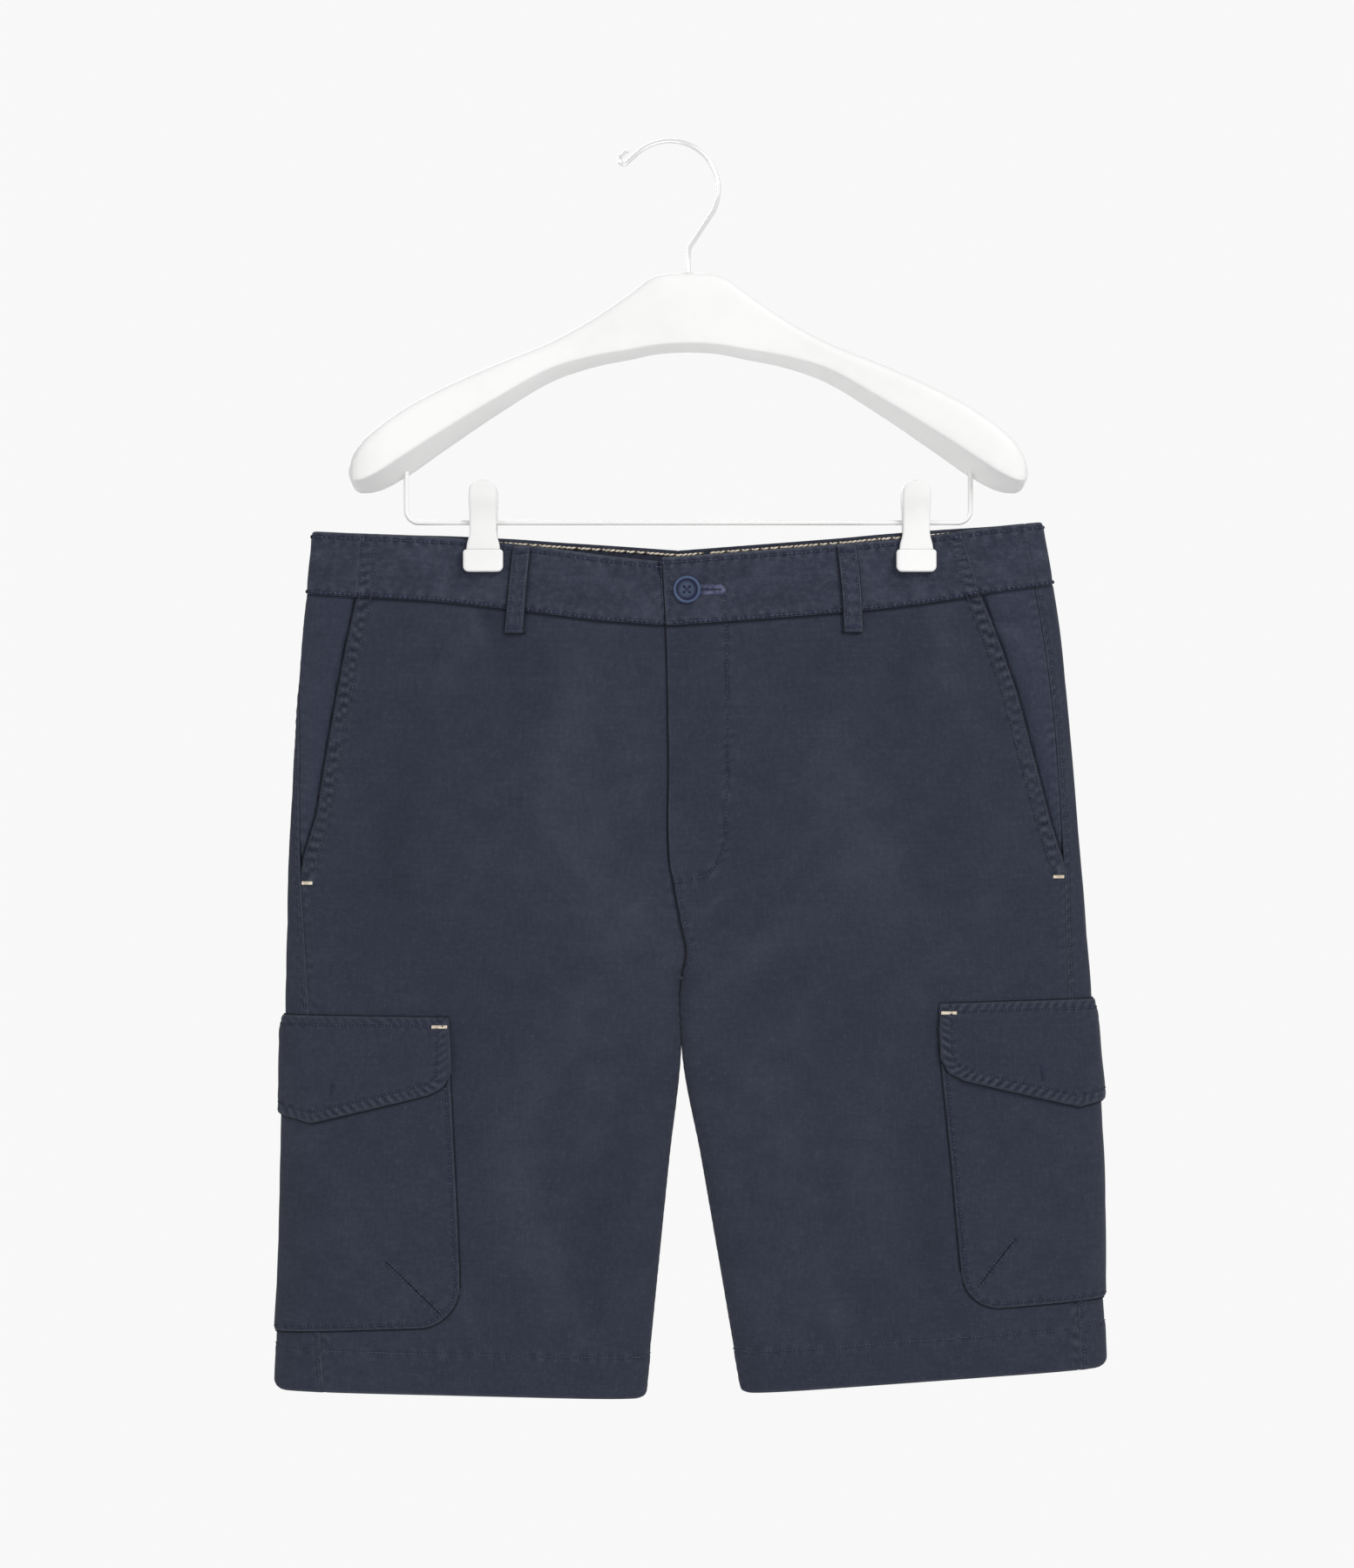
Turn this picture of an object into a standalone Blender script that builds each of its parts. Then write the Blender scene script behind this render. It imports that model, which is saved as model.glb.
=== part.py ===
"""Cargo shorts clipped to a white trouser hanger, in one body.

Lengths are in millimetres until a mesh is written, in metres. +X is the viewer's right,
+Z is up and the front of the shorts faces -Y. The origin is the inside of the hook's crown,
where a rail carries the hanger. Right and left are the wearer's, so right lies at -X.

The cloth is one hollow form: a flattened tube at the hips that parts into two legs.
Each half of it is measured with two coordinates, q and z. q is the distance round the
tube from the outer fold, positive over the front and negative over the back, and z is
the height. Every panel is a wall cut from that form between its own seam lines.
"""

import math

import bmesh
import bpy
import numpy as np
from mathutils import Matrix, Vector

MM = 0.001
SEAM_GAP = 0.3
CENTRE_INSET = 0.25  # each panel's share of the gap at the centre seams and the inseams
LAID_GAP = 0.7  # under a piece laid on another, whose facets don't match
RIGHT, LEFT = "right", "left"
HALVES = (RIGHT, LEFT)
OUTWARD = {RIGHT: -1, LEFT: 1}

# ---------------------------------------------------------------- driving sizes
PANEL_WALL = 1.5
POCKET_WALL = 1.3
FLAP_WALL = 1.6
FACING_WALL = 1.3
BAND_WALL = 2.2
BAND_PROUD = 0.4  # how far the doubled waistband stands out from the panels
# Height of the waistband at shares of the way from the outer fold to the front's centre.
BAND_HEIGHTS = {
    RIGHT: ((0, 38.8), (0.3, 39.4), (0.55, 40.4), (0.82, 40.0), (1, 38.8)),
    LEFT: ((0, 38.8), (0.2, 40.0), (0.4, 41.3), (1, 41.8)),
}
LOOP_WALL = 1.6
LOOP_WIDTH = 10.8
LOOP_LENGTH = 54.0

# The form at each height: where the outer folds and the inner edges stand, how far the
# back's centre seam stands from the front's, and half the distance from front to back.
SECTION_COLUMNS = (
    "height", "outer_right", "inner_right", "inner_left", "outer_left", "back_shift", "half_depth",
)
SECTIONS = (
    (-230.0, -227.6, -7.9, -7.9, 230.0, 9.0, 9.0),
    (-265.0, -230.7, -6.7, -6.7, 236.2, 8.5, 9.2),
    (-310.0, -235.3, -4.4, -4.4, 243.2, 7.0, 9.6),
    (-380.0, -239.8, -2.8, -2.8, 250.0, 5.5, 10.0),
    (-465.0, -244.5, -0.8, -0.8, 257.2, 4.0, 10.2),
    (-490.0, -245.0, 3.4, 3.8, 259.2, 0.5, 10.0),
    (-512.0, -245.5, 6.9, 7.5, 261.0, -2.5, 10.2),
    (-526.0, -245.9, 3.6, 4.2, 262.2, 0.0, 10.4),
    (-571.0, -246.2, 3.6, 4.2, 263.5, 0.0, 11.2),
    (-640.0, -247.6, -3.4, 16.1, 266.5, 0.0, 12.0),
    (-725.0, -250.2, -12.0, 30.8, 269.8, 0.0, 12.6),
    (-745.0, -251.4, -14.0, 34.2, 271.3, 0.0, 12.8),
    (-800.0, -253.3, -19.5, 43.8, 272.9, 0.0, 13.0),
)
FOLD_EXPONENT = 6  # the higher it is, the flatter the faces and the tighter the folds
FLY_END_HEIGHT = -465.0
CROTCH_HEIGHT = -526.0

# Heights of the waist's top edge over the front, at shares of the way to its centre.
WAIST_FRONT = {
    RIGHT: (
        (0, -245.3), (0.15, -247.3), (0.3, -248.6), (0.43, -250.0), (0.55, -252.6), (0.7, -256.8),
        (0.82, -260.6), (1, -265.0),
    ),
    LEFT: (
        (0, -239.3), (0.14, -242.9), (0.23, -245.6), (0.3, -247.6), (0.46, -251.8), (0.78, -258.3),
        (1, -262.3),
    ),
}
WAIST_BACK = -257.0  # at the centre back
WAIST_BACK_SAG = {RIGHT: -1.5, LEFT: 0.0}

# Heights of the hem at the outer fold and at the inseam.
HEM_OUTER = {RIGHT: -785.0, LEFT: -770.5}
HEM_INNER = {RIGHT: -791.0, LEFT: -788.0}
HEM_CORNER_LIFT = 3.0
HEM_CORNER_REACH = 5.0

# Seam lines over the front, as (height, distance seen inside the half's outer fold).
SIDE_SEAM = {
    RIGHT: (
        (-230, -10.0), (-327, -1.5), (-371, 2.2), (-459, 8.2), (-503, 12.0), (-548, 16.0), (-747, 28.5),
        (-800, 34.0),
    ),
    LEFT: (
        (-230, 11.0), (-285, 12.5), (-371, 9.8), (-459, 11.7), (-503, 14.5), (-548, 16.0), (-729, 17.5),
        (-800, 18.5),
    ),
}
POCKET_OPENING = {
    RIGHT: ((-230, 29.5), (-248, 31.5), (-288, 32.8), (-371, 22.5), (-424, 17.0), (-451, 10.0), (-462, 9.0)),
    LEFT: ((-230, 50.5), (-248, 52.0), (-284, 47.8), (-349, 32.0), (-430, 17.8), (-455, 11.5), (-462, 11.7)),
}
BARTACK_HEIGHT = {RIGHT: -466.0, LEFT: -462.0}
FACING_UNDERLAP = 20.0
FACING_DEPTH = 14.0  # how far it runs below the end of the opening

UNDERLAP_WIDTH = 32.0  # of the fly shield, past the fly's edge
UNDERLAP_RETURN = 8.0

# Cargo pockets, sewn over the side seams. Front and back are distances from the side seam.
POCKET_EDGE_TOP = {RIGHT: (86.0, -88.0), LEFT: (83.0, -96.0)}
POCKET_EDGE_BOTTOM = {RIGHT: (88.0, -89.0), LEFT: (71.0, -104.0)}
POCKET_BOTTOM = {RIGHT: -748.5, LEFT: -727.0}
POCKET_BOTTOM_SLOPE = {RIGHT: 0.03, LEFT: -0.085}
POCKET_CORNER = 24.0
POCKET_BULGE = 2.6
POCKET_FOLD_BULGE = {RIGHT: 0.0, LEFT: 1.0}  # share of the bulge left at the outer fold
POCKET_FOLD_REACH = 22.0
FLAP_TOP = {RIGHT: -550.0, LEFT: -539.6}
FLAP_TOP_SLOPE = {RIGHT: -0.012, LEFT: -0.03}
FLAP_CENTRE = {RIGHT: -4.5, LEFT: -8.0}  # from the side seam
FLAP_HALF_WIDTH = {RIGHT: 92.0, LEFT: 89.0}
FLAP_SIDE, FLAP_SHOULDER, FLAP_POINT = 34.0, 46.5, 66.5
FLAP_CHAMFER = 15.0
POCKET_BELOW_FLAP_TOP = 14.0

# Hanger
HANGER_X = 8.25
CLIP_X = {RIGHT: -121.0, LEFT: 151.8}
CLIP_TOP, CLIP_BOTTOM = -213.4, -270.6
CLIP_PAD_TOP = -256.6
CLIP_PAD_WIDTH = 25.2
CLIP_PAD_THICKNESS, CLIP_PAD_ROUNDING = 5.4, 1.3
CLIP_WALL = 2.6
BARREL_RADIUS, BARREL_LENGTH = 3.7, 16.0
PINCH_WIDTH, PINCH_HEIGHT = 36.0, 55.0
PINCHED_HALF_DEPTH = 2.1
BAR_HEIGHT = -239.3
BAR_REACH = 178.0
BAR_RADIUS = 1.6
BAR_BEND = 8.0
BAR_TOP = -190.0  # where the bar's ends stop, inside the arms
HOOK_RADIUS = 29.0  # inside
HOOK_CENTRE_X = -3.5
HOOK_FIRST_ANGLE, HOOK_LAST_ANGLE = -27, 132  # of the round part, in degrees from +X
HOOK_STEM_TOP = -65.0
HOOK_TIP_LENGTH, HOOK_TIP_RADIUS = 9.0, 2.7
WIRE_RADIUS = 1.75
HOOK_SOCKET, HOOK_SUNK = 22.0, 20.0  # depths below the neck's top
SOCKET_CLEARANCE = 0.3

BUTTON_DIAMETER, BUTTON_THICKNESS, BUTTON_RIM = 17.4, 3.0, 1.9
BUTTON_HOLE_RADIUS, BUTTON_HOLE_OFFSET = 0.75, 1.7
BUTTON_X, BUTTON_HEIGHT = 7.3, -282.0

NAVY = (0.042, 0.046, 0.066)
BUTTON_BLUE = (0.05, 0.09, 0.2)
WHITE = (0.86, 0.86, 0.85)
BRIGHT_STEEL = (0.75, 0.75, 0.76)


# ---------------------------------------------------------------- small tools
def smooth(share):
    """0 below 0, 1 above 1, and an even S between."""
    share = np.clip(share, 0.0, 1.0)
    return share * share * (3 - 2 * share)


def hermite(at, heights, values):
    """The column of a table at any height, as one smooth curve through its rows."""
    heights, values = np.asarray(heights, float), np.asarray(values, float)
    slopes = np.gradient(values, heights)
    row = np.clip(np.searchsorted(heights, at) - 1, 0, len(heights) - 2)
    span = heights[row + 1] - heights[row]
    t = np.clip((at - heights[row]) / span, 0, 1)
    start, end = (1 + 2 * t) * (1 - t) ** 2, t * t * (3 - 2 * t)
    rise, fall = t * (1 - t) ** 2 * span, t * t * (t - 1) * span
    return start * values[row] + end * values[row + 1] + rise * slopes[row] + fall * slopes[row + 1]


def column(name, heights):
    rows = sorted(SECTIONS)
    index = SECTION_COLUMNS.index(name)
    return hermite(heights, [r[0] for r in rows], [r[index] for r in rows])


def material(name, colour, roughness, metallic=0.0):
    made = bpy.data.materials.new(name)
    made.use_nodes = True
    shader = made.node_tree.nodes["Principled BSDF"]
    shader.inputs["Base Color"].default_value = (*colour, 1)
    shader.inputs["Roughness"].default_value = roughness
    shader.inputs["Metallic"].default_value = metallic
    return made


def drill(bm, low, high, radius, sides):
    """Adds an upright cylinder between two points, to cut a hole with."""
    middle = (Vector(low) + Vector(high)) / 2 * MM
    bmesh.ops.create_cone(
        bm, cap_ends=True, segments=sides, radius1=radius * MM, radius2=radius * MM,
        depth=(high[2] - low[2]) * MM, matrix=Matrix.Translation(middle),
    )


def turned(profile, axis, steps):
    """The body made by turning a chain of points round an axis through the origin."""
    bm = bmesh.new()
    chain = [bm.verts.new(Vector(point) * MM) for point in profile]
    edges = [bm.edges.new(pair) for pair in zip(chain, chain[1:])]
    bmesh.ops.spin(
        bm, geom=chain + edges, cent=(0, 0, 0), axis=axis, angle=2 * math.pi, steps=steps,
        use_duplicate=False,
    )
    bmesh.ops.remove_doubles(bm, verts=bm.verts, dist=1e-6)
    return bm


def add_object(name, bm, finish, smooth_angle=None):
    bmesh.ops.recalc_face_normals(bm, faces=bm.faces)
    mesh = bpy.data.meshes.new(name)
    bm.to_mesh(mesh)
    bm.free()
    if smooth_angle is not None:
        mesh.shade_smooth()
        mesh.set_sharp_from_angle(angle=math.radians(smooth_angle))
    made = bpy.data.objects.new(name, mesh)
    mesh.materials.append(finish)
    bpy.context.scene.collection.objects.link(made)
    return made


# ---------------------------------------------------------------- the cloth's form
class Half:
    """One half of the cloth's outer skin, as a table of sections 2 mm apart."""

    STEP = 2.0
    SAMPLES = 161
    TURN_WEIGHT = 40.0  # millimetres of spacing that one radian of bend counts for

    def __init__(self, side):
        self.side = side
        self.heights = np.arange(-800.0, -229.0, self.STEP)
        outer = column("outer_" + side, self.heights)
        inner = column("inner_" + side, self.heights)
        back_inner = inner + column("back_shift", self.heights)
        depth = column("half_depth", self.heights)
        fall = (FLY_END_HEIGHT - self.heights) / (FLY_END_HEIGHT - CROTCH_HEIGHT)
        openness = np.sqrt(1 - np.clip(fall, 0, 1) ** 2)
        self.outer = outer
        sections = [
            self.section(*values) for values in zip(self.heights, outer, inner, back_inner, depth, openness)
        ]
        self.x = np.array([s[0] for s in sections])
        self.y = np.array([s[1] for s in sections])
        self.front_end = np.array([s[2] for s in sections])
        self.back_end = np.array([s[3] for s in sections])
        self.weight = np.array([s[4] for s in sections])
        self.share = np.linspace(-1, 1, 2 * self.SAMPLES - 1)

    def section(self, height, outer, inner, back_inner, depth, openness):
        """The section from the back's inner edge round the outer fold to the front's inner edge."""
        turn = np.linspace(0, math.pi, 400)
        across = np.cos(turn)  # 1 at the outer fold, -1 at the inner edge
        closing = np.sqrt(np.clip(1 - np.abs(across) ** FOLD_EXPONENT, 0, 1))
        rise = depth * np.where(across > 0, closing, openness + (1 - openness) * closing)
        faces = []
        for end, sign in ((back_inner, 1), (inner, -1)):
            x = (outer + end) / 2 + across * (outer - end) / 2
            y = sign * self.pinched(x, height, rise)
            faces.append(self.spaced(x, y))
        (back_x, back_y, back_length), (front_x, front_y, front_length) = faces
        x = np.concatenate([back_x[::-1], front_x[1:]])
        y = np.concatenate([back_y[::-1], front_y[1:]])
        steps = np.hypot(np.diff(x), np.diff(y))
        heading = np.unwrap(np.arctan2(np.diff(y), np.diff(x)))
        bend = np.abs(np.gradient(heading))
        weight = np.concatenate([[0], np.cumsum(steps + self.TURN_WEIGHT * bend)])
        return x, y, front_length, -back_length, weight

    @staticmethod
    def pinched(x, height, rise):
        """The half depth, drawn in where a clip holds front and back together."""
        for clip in CLIP_X.values():
            below = max(0.0, CLIP_BOTTOM - height)
            hold = np.exp(-(((x - clip) / PINCH_WIDTH) ** 4) - (below / PINCH_HEIGHT) ** 2)
            rise = rise * (1 - hold) + np.minimum(rise, PINCHED_HALF_DEPTH) * hold
        return rise

    def spaced(self, x, y):
        """The same curve from the fold inwards, with its points evenly spaced."""
        length = np.concatenate([[0], np.cumsum(np.hypot(np.diff(x), np.diff(y)))])
        even = np.linspace(0, length[-1], self.SAMPLES)
        return np.interp(even, length, x), np.interp(even, length, y), length[-1]

    def ends(self, z):
        """q at the inner edges of the front and of the back."""
        return np.interp(z, self.heights, self.front_end), np.interp(z, self.heights, self.back_end)

    def blend(self, table, row_share, column_share):
        row = np.clip(row_share.astype(int), 0, len(table) - 2)
        col = np.clip(column_share.astype(int), 0, table.shape[1] - 2)
        down, along = row_share - row, column_share - col
        low = table[row, col] * (1 - along) + table[row, col + 1] * along
        high = table[row + 1, col] * (1 - along) + table[row + 1, col + 1] * along
        return low * (1 - down) + high * down

    def place(self, q, z):
        """Points of the outer skin.

        Past a half's inner edges it runs straight on above the crotch and round the leg below.
        """
        q, z = np.broadcast_arrays(np.asarray(q, float), np.asarray(z, float))
        front, back = self.ends(z)
        row_share = (z - self.heights[0]) / self.STEP
        past = np.maximum(q - front, 0) + np.maximum(back - q, 0)
        leg = z <= CROTCH_HEIGHT
        q = np.where(leg & (q > front), back + past, np.where(leg & (q < back), front - past, q))
        past = np.where(leg, 0, past)
        share = np.clip(np.where(q > 0, q / front, -q / back), -1, 1)
        column_share = (share + 1) * (self.SAMPLES - 1)
        x = self.blend(self.x, row_share, column_share) - OUTWARD[self.side] * past
        y = self.blend(self.y, row_share, column_share)
        return np.stack([x, y, z], axis=-1)

    def normal(self, q, z):
        """Directions out of the cloth. Edges at a centre seam or inseam share the seam's own."""
        q, z = np.broadcast_arrays(np.asarray(q, float), np.asarray(z, float))
        front, back = self.ends(z)
        q = np.where(front - q < 1, front, np.where(q - back < 1, back, q))
        reach = 0.6
        along = self.place(q + reach, z) - self.place(q - reach, z)
        up = self.place(q, z + 2) - self.place(q, z - 2)
        facing = -OUTWARD[self.side] * np.cross(along, up)
        return facing / np.linalg.norm(facing, axis=-1, keepdims=True)

    def q_at(self, seen, z):
        """q of a point on the front that shows at this distance inside the outer fold.

        A distance below 0 is measured round the fold, over the back.
        """
        if seen <= 0:
            return float(seen)
        row = int(np.clip((z - self.heights[0]) / self.STEP, 0, len(self.heights) - 1))
        inside = np.abs(self.x[row, self.SAMPLES - 1:] - self.outer[row])
        return float(np.interp(seen, inside, np.linspace(0, self.front_end[row], self.SAMPLES)))

    def line(self, rows, z):
        """q of a seam line at a height, from its (height, distance seen) rows."""
        rows = sorted(rows)
        return self.q_at(float(np.interp(z, [r[0] for r in rows], [r[1] for r in rows])), z)

    def across(self, start, end, count_share, z):
        """q at a share of the way from start to end, closer together where the cloth bends."""
        row = int(np.clip((z - self.heights[0]) / self.STEP, 0, len(self.heights) - 1))
        q_row = np.where(self.share > 0, self.share * self.front_end[row], -self.share * self.back_end[row])
        low, high = np.interp([start, end], q_row, self.weight[row])
        return float(np.interp(low + (high - low) * count_share, self.weight[row], q_row))


FORM = {side: Half(side) for side in HALVES}


def waist_top(side, q):
    """Height of the waist's top edge at a distance round the half."""
    front, back = FORM[side].ends(-250.0)
    if q > 0:
        return float(np.interp(q / front, *zip(*WAIST_FRONT[side])))
    corner, share = WAIST_FRONT[side][0][1], q / back
    return corner + (WAIST_BACK - corner) * share - 4 * WAIST_BACK_SAG[side] * share * (1 - share)


def waist_seam(side, q):
    share = max(0.0, q / FORM[side].ends(-250.0)[0])
    return waist_top(side, q) - float(np.interp(share, *zip(*BAND_HEIGHTS[side])))


def hem(side, q):
    front, back = FORM[side].ends(-780.0)
    share = q / front if q > 0 else q / back
    lift = HEM_CORNER_LIFT * math.exp(-((q / HEM_CORNER_REACH) ** 2))
    return HEM_OUTER[side] + (HEM_INNER[side] - HEM_OUTER[side]) * share + lift


def side_seam(side, z):
    return FORM[side].line(SIDE_SEAM[side], z)


def opening(side, z):
    """q of the slanted pocket's edge, and of the side seam below its end."""
    if z < BARTACK_HEIGHT[side]:
        return side_seam(side, z)
    return max(FORM[side].line(POCKET_OPENING[side], z), side_seam(side, z))


# ---------------------------------------------------------------- walls
def wall(name, points, normals, proud, thickness, finish):
    """A closed solid between a grid of points moved out by proud and the same moved back in."""
    proud = np.broadcast_to(proud, points.shape[:2])[..., None]
    thickness = np.broadcast_to(thickness, points.shape[:2])[..., None]
    outer = (points + normals * proud) * MM
    inner = (points + normals * (proud - thickness)) * MM
    rows, columns = points.shape[:2]
    bm = bmesh.new()
    skins = [[[bm.verts.new(p) for p in row] for row in skin] for skin in (outer, inner)]
    for skin in skins:
        for i in range(rows - 1):
            for j in range(columns - 1):
                bm.faces.new((skin[i][j], skin[i][j + 1], skin[i + 1][j + 1], skin[i + 1][j]))
    rim = [(0, j) for j in range(columns)] + [(i, columns - 1) for i in range(1, rows)]
    rim += [(rows - 1, j) for j in range(columns - 2, -1, -1)] + [(i, 0) for i in range(rows - 2, 0, -1)]
    for (i, j), (k, l) in zip(rim, rim[1:] + rim[:1]):
        bm.faces.new((skins[0][i][j], skins[1][i][j], skins[1][k][l], skins[0][k][l]))
    return add_object(name, bm, finish, 40)


def grid(side, start, end, top, bottom, columns, rows):
    """q and z over a panel between two seam lines and two edges.

    start and end give q at a height, and top and bottom give the height at a q.
    """
    form = FORM[side]
    shares = np.linspace(0, 1, columns)
    q, z = np.zeros((len(rows), columns)), np.zeros((len(rows), columns))
    for i, down in enumerate(rows):
        for j, share in enumerate(shares):
            height = -500.0
            here = 0.0
            for _ in range(5):
                height = top(here) + (bottom(here) - top(here)) * down
                here = form.across(start(height), end(height), share, height)
            q[i, j], z[i, j] = here, height
    return q, z


def panel(name, side, q, z, proud, thickness, finish):
    form = FORM[side]
    return wall(name, form.place(q, z), form.normal(q, z), proud, thickness, finish)


def even(count):
    return np.linspace(0, 1, count)


# Shares of the way from the waist seam to the hem, closer where the legs part.
LEG_ROWS = (
    0, 0.07, 0.16, 0.25, 0.33, 0.37, 0.4, 0.425, 0.445, 0.46, 0.475, 0.5, 0.56, 0.66, 0.76, 0.86, 0.948,
    0.953, 1,
)


def hem_thickness(side, q, z):
    """The hem's turned-up cloth doubles the wall from the hem's stitching down."""
    above = z - np.vectorize(lambda at: hem(side, at))(q)
    return np.where(above < 26.0, PANEL_WALL + 1.0, PANEL_WALL)


def inset(side, line, z, away):
    """A seam line moved by half a seam gap to one side."""
    return line(side, z) + away * SEAM_GAP / 2


def build_panels(navy):
    for side in HALVES:
        form = FORM[side]
        q, z = grid(
            side,
            lambda at: inset(side, opening, at, 1),
            lambda at: float(form.ends(at)[0]) - CENTRE_INSET,
            lambda at: waist_seam(side, at) - SEAM_GAP / 2,
            lambda at: hem(side, at),
            11, LEG_ROWS,
        )
        panel("front_" + side, side, q, z, 0, hem_thickness(side, q, z), navy)
        q, z = grid(
            side,
            lambda at: float(form.ends(at)[1]) + CENTRE_INSET,
            lambda at: inset(side, side_seam, at, -1),
            lambda at: waist_seam(side, at) - SEAM_GAP / 2,
            lambda at: hem(side, at),
            17, LEG_ROWS,
        )
        panel("back_" + side, side, q, z, 0, hem_thickness(side, q, z), navy)


def build_facings(navy):
    """The cloth seen inside each slanted pocket opening, sunk under the front's edge."""
    for side in HALVES:
        q, z = grid(
            side,
            lambda at: side_seam(side, at) + LAID_GAP,
            lambda at: opening(side, at) + FACING_UNDERLAP,
            lambda at: waist_seam(side, at) - SEAM_GAP,
            lambda at: BARTACK_HEIGHT[side] - FACING_DEPTH,
            8, even(10),
        )
        inside = np.vectorize(lambda at: opening(side, at))(z) - q
        sunk = -(PANEL_WALL + 2 * LAID_GAP) * (1 - smooth((inside - 4) / 14))
        panel("pocket_facing_" + side, side, q, z, sunk, FACING_WALL, navy)


def build_waistband(navy):
    rows = even(4)
    for side in HALVES:
        form = FORM[side]
        top = lambda at: waist_top(side, at)
        bottom = lambda at: waist_seam(side, at) + SEAM_GAP / 2
        band_opening = lambda at: form.line(POCKET_OPENING[side], at)
        q, z = grid(
            side, lambda at: band_opening(at) + SEAM_GAP / 2,
            lambda at: float(form.ends(at)[0]) - SEAM_GAP / 2, top, bottom, 19, rows,
        )
        panel("waistband_front_" + side, side, q, z, BAND_PROUD, BAND_WALL, navy)
        q, z = grid(
            side, lambda at: inset(side, side_seam, at, 1),
            lambda at: band_opening(at) - SEAM_GAP / 2, top, bottom, 8 if side == RIGHT else 5, rows,
        )
        panel("waistband_side_" + side, side, q, z, BAND_PROUD, BAND_WALL, navy)
        q, z = grid(
            side, lambda at: float(form.ends(at)[1]) + SEAM_GAP / 2,
            lambda at: inset(side, side_seam, at, -1), top, bottom, 20, rows,
        )
        panel("waistband_back_" + side, side, q, z, BAND_PROUD, BAND_WALL, navy)


def build_underlap(navy):
    """The right front's shield behind the fly, which the button is sewn to."""
    points, normals = [], []
    for side, width in ((RIGHT, UNDERLAP_RETURN), (LEFT, UNDERLAP_WIDTH)):
        form = FORM[side]
        q, z = grid(
            side,
            lambda at: float(form.ends(at)[0]) - width,
            lambda at: float(form.ends(at)[0]),
            lambda at: waist_top(side, float(form.ends(at)[0])) - 1.0,
            lambda at: FLY_END_HEIGHT + 3.0,
            3, even(7),
        )
        z[:] = z.mean(axis=1, keepdims=True)
        points.append(form.place(q, z))
        normals.append(form.normal(q, z))
    points[1][..., 2] = points[0][:, :1, 2]
    points = np.concatenate([points[0], points[1][:, -2::-1]], axis=1)
    normals = np.concatenate([normals[0], normals[1][:, -2::-1]], axis=1)
    wall("fly_underlap", points, normals, -(BAND_WALL - BAND_PROUD + SEAM_GAP), PANEL_WALL, navy)


# ---------------------------------------------------------------- cargo pockets
def pocket_edges(side, z):
    """q of the pocket's front and back edges at a height."""
    low, high = POCKET_BOTTOM[side], FLAP_TOP[side]
    share = (high - z) / (high - low)
    seam = side_seam(side, z)
    return [seam + t + (b - t) * share for t, b in zip(POCKET_EDGE_TOP[side], POCKET_EDGE_BOTTOM[side])]


def pocket_height(side, q):
    """Heights of the pocket's top and bottom edges at a q, with the bottom corners rounded."""
    top = FLAP_TOP[side] + FLAP_TOP_SLOPE[side] * q - POCKET_BELOW_FLAP_TOP
    bottom = POCKET_BOTTOM[side] + POCKET_BOTTOM_SLOPE[side] * q
    front, back = pocket_edges(side, bottom + POCKET_CORNER)
    inside = min(front - q, q - back)
    into = max(0.0, min(POCKET_CORNER, POCKET_CORNER - inside))
    return top, bottom + POCKET_CORNER - math.sqrt(POCKET_CORNER**2 - into**2)


def pocket_proud(side, q, z):
    """How far the pocket's outside stands off the leg: sewn flat at its edges, full inside."""
    front, back = pocket_edges(side, z)
    low = POCKET_BOTTOM[side] + POCKET_BOTTOM_SLOPE[side] * q
    high = FLAP_TOP[side] - POCKET_BELOW_FLAP_TOP
    across = math.sin(math.pi * min(1.0, max(0.0, (q - back) / (front - back)))) ** 0.6
    along = math.sin(math.pi * min(1.0, max(0.0, (z - low) / (high - low)))) ** 0.6
    held = (1 - POCKET_FOLD_BULGE[side]) * math.exp(-((q / POCKET_FOLD_REACH) ** 2))
    return LAID_GAP + POCKET_WALL + POCKET_BULGE * (1 - held) * across * along


def flap_drop(side, from_centre):
    """The flap's depth at a distance from its centre: straight sides, cut corners, a point."""
    out, half = np.abs(from_centre), FLAP_HALF_WIDTH[side]
    stops = (0, half - FLAP_CHAMFER, half - FLAP_CHAMFER / 3, half)
    return float(np.interp(out, stops, (FLAP_POINT, FLAP_SHOULDER + 1.5, FLAP_SHOULDER - 3.5, FLAP_SIDE)))


def build_cargo_pockets(navy):
    for side in HALVES:
        q, z = grid(
            side,
            lambda at: pocket_edges(side, at)[1], lambda at: pocket_edges(side, at)[0],
            lambda at: pocket_height(side, at)[0], lambda at: pocket_height(side, at)[1],
            17, (0, 0.18, 0.38, 0.58, 0.76, 0.9, 1),
        )
        proud = np.vectorize(lambda a, b: pocket_proud(side, a, b))(q, z)
        panel("cargo_pocket_" + side, side, q, z, proud, POCKET_WALL, navy)

        middle = lambda at: side_seam(side, at) + FLAP_CENTRE[side]
        top = lambda at: FLAP_TOP[side] + FLAP_TOP_SLOPE[side] * at
        q, z = grid(
            side,
            lambda at: middle(at) - FLAP_HALF_WIDTH[side], lambda at: middle(at) + FLAP_HALF_WIDTH[side],
            top, lambda at: top(at) - flap_drop(side, at - middle(top(at) - FLAP_SIDE)),
            19, (0, 0.1, 0.2, 0.45, 0.75, 1),
        )
        under = np.vectorize(lambda a, b: pocket_proud(side, a, b))(q, z)
        drop = np.vectorize(top)(q) - z
        proud = LAID_GAP + FLAP_WALL + smooth(drop / (POCKET_BELOW_FLAP_TOP - 2)) * under
        panel("cargo_flap_" + side, side, q, z, proud, FLAP_WALL, navy)


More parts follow.
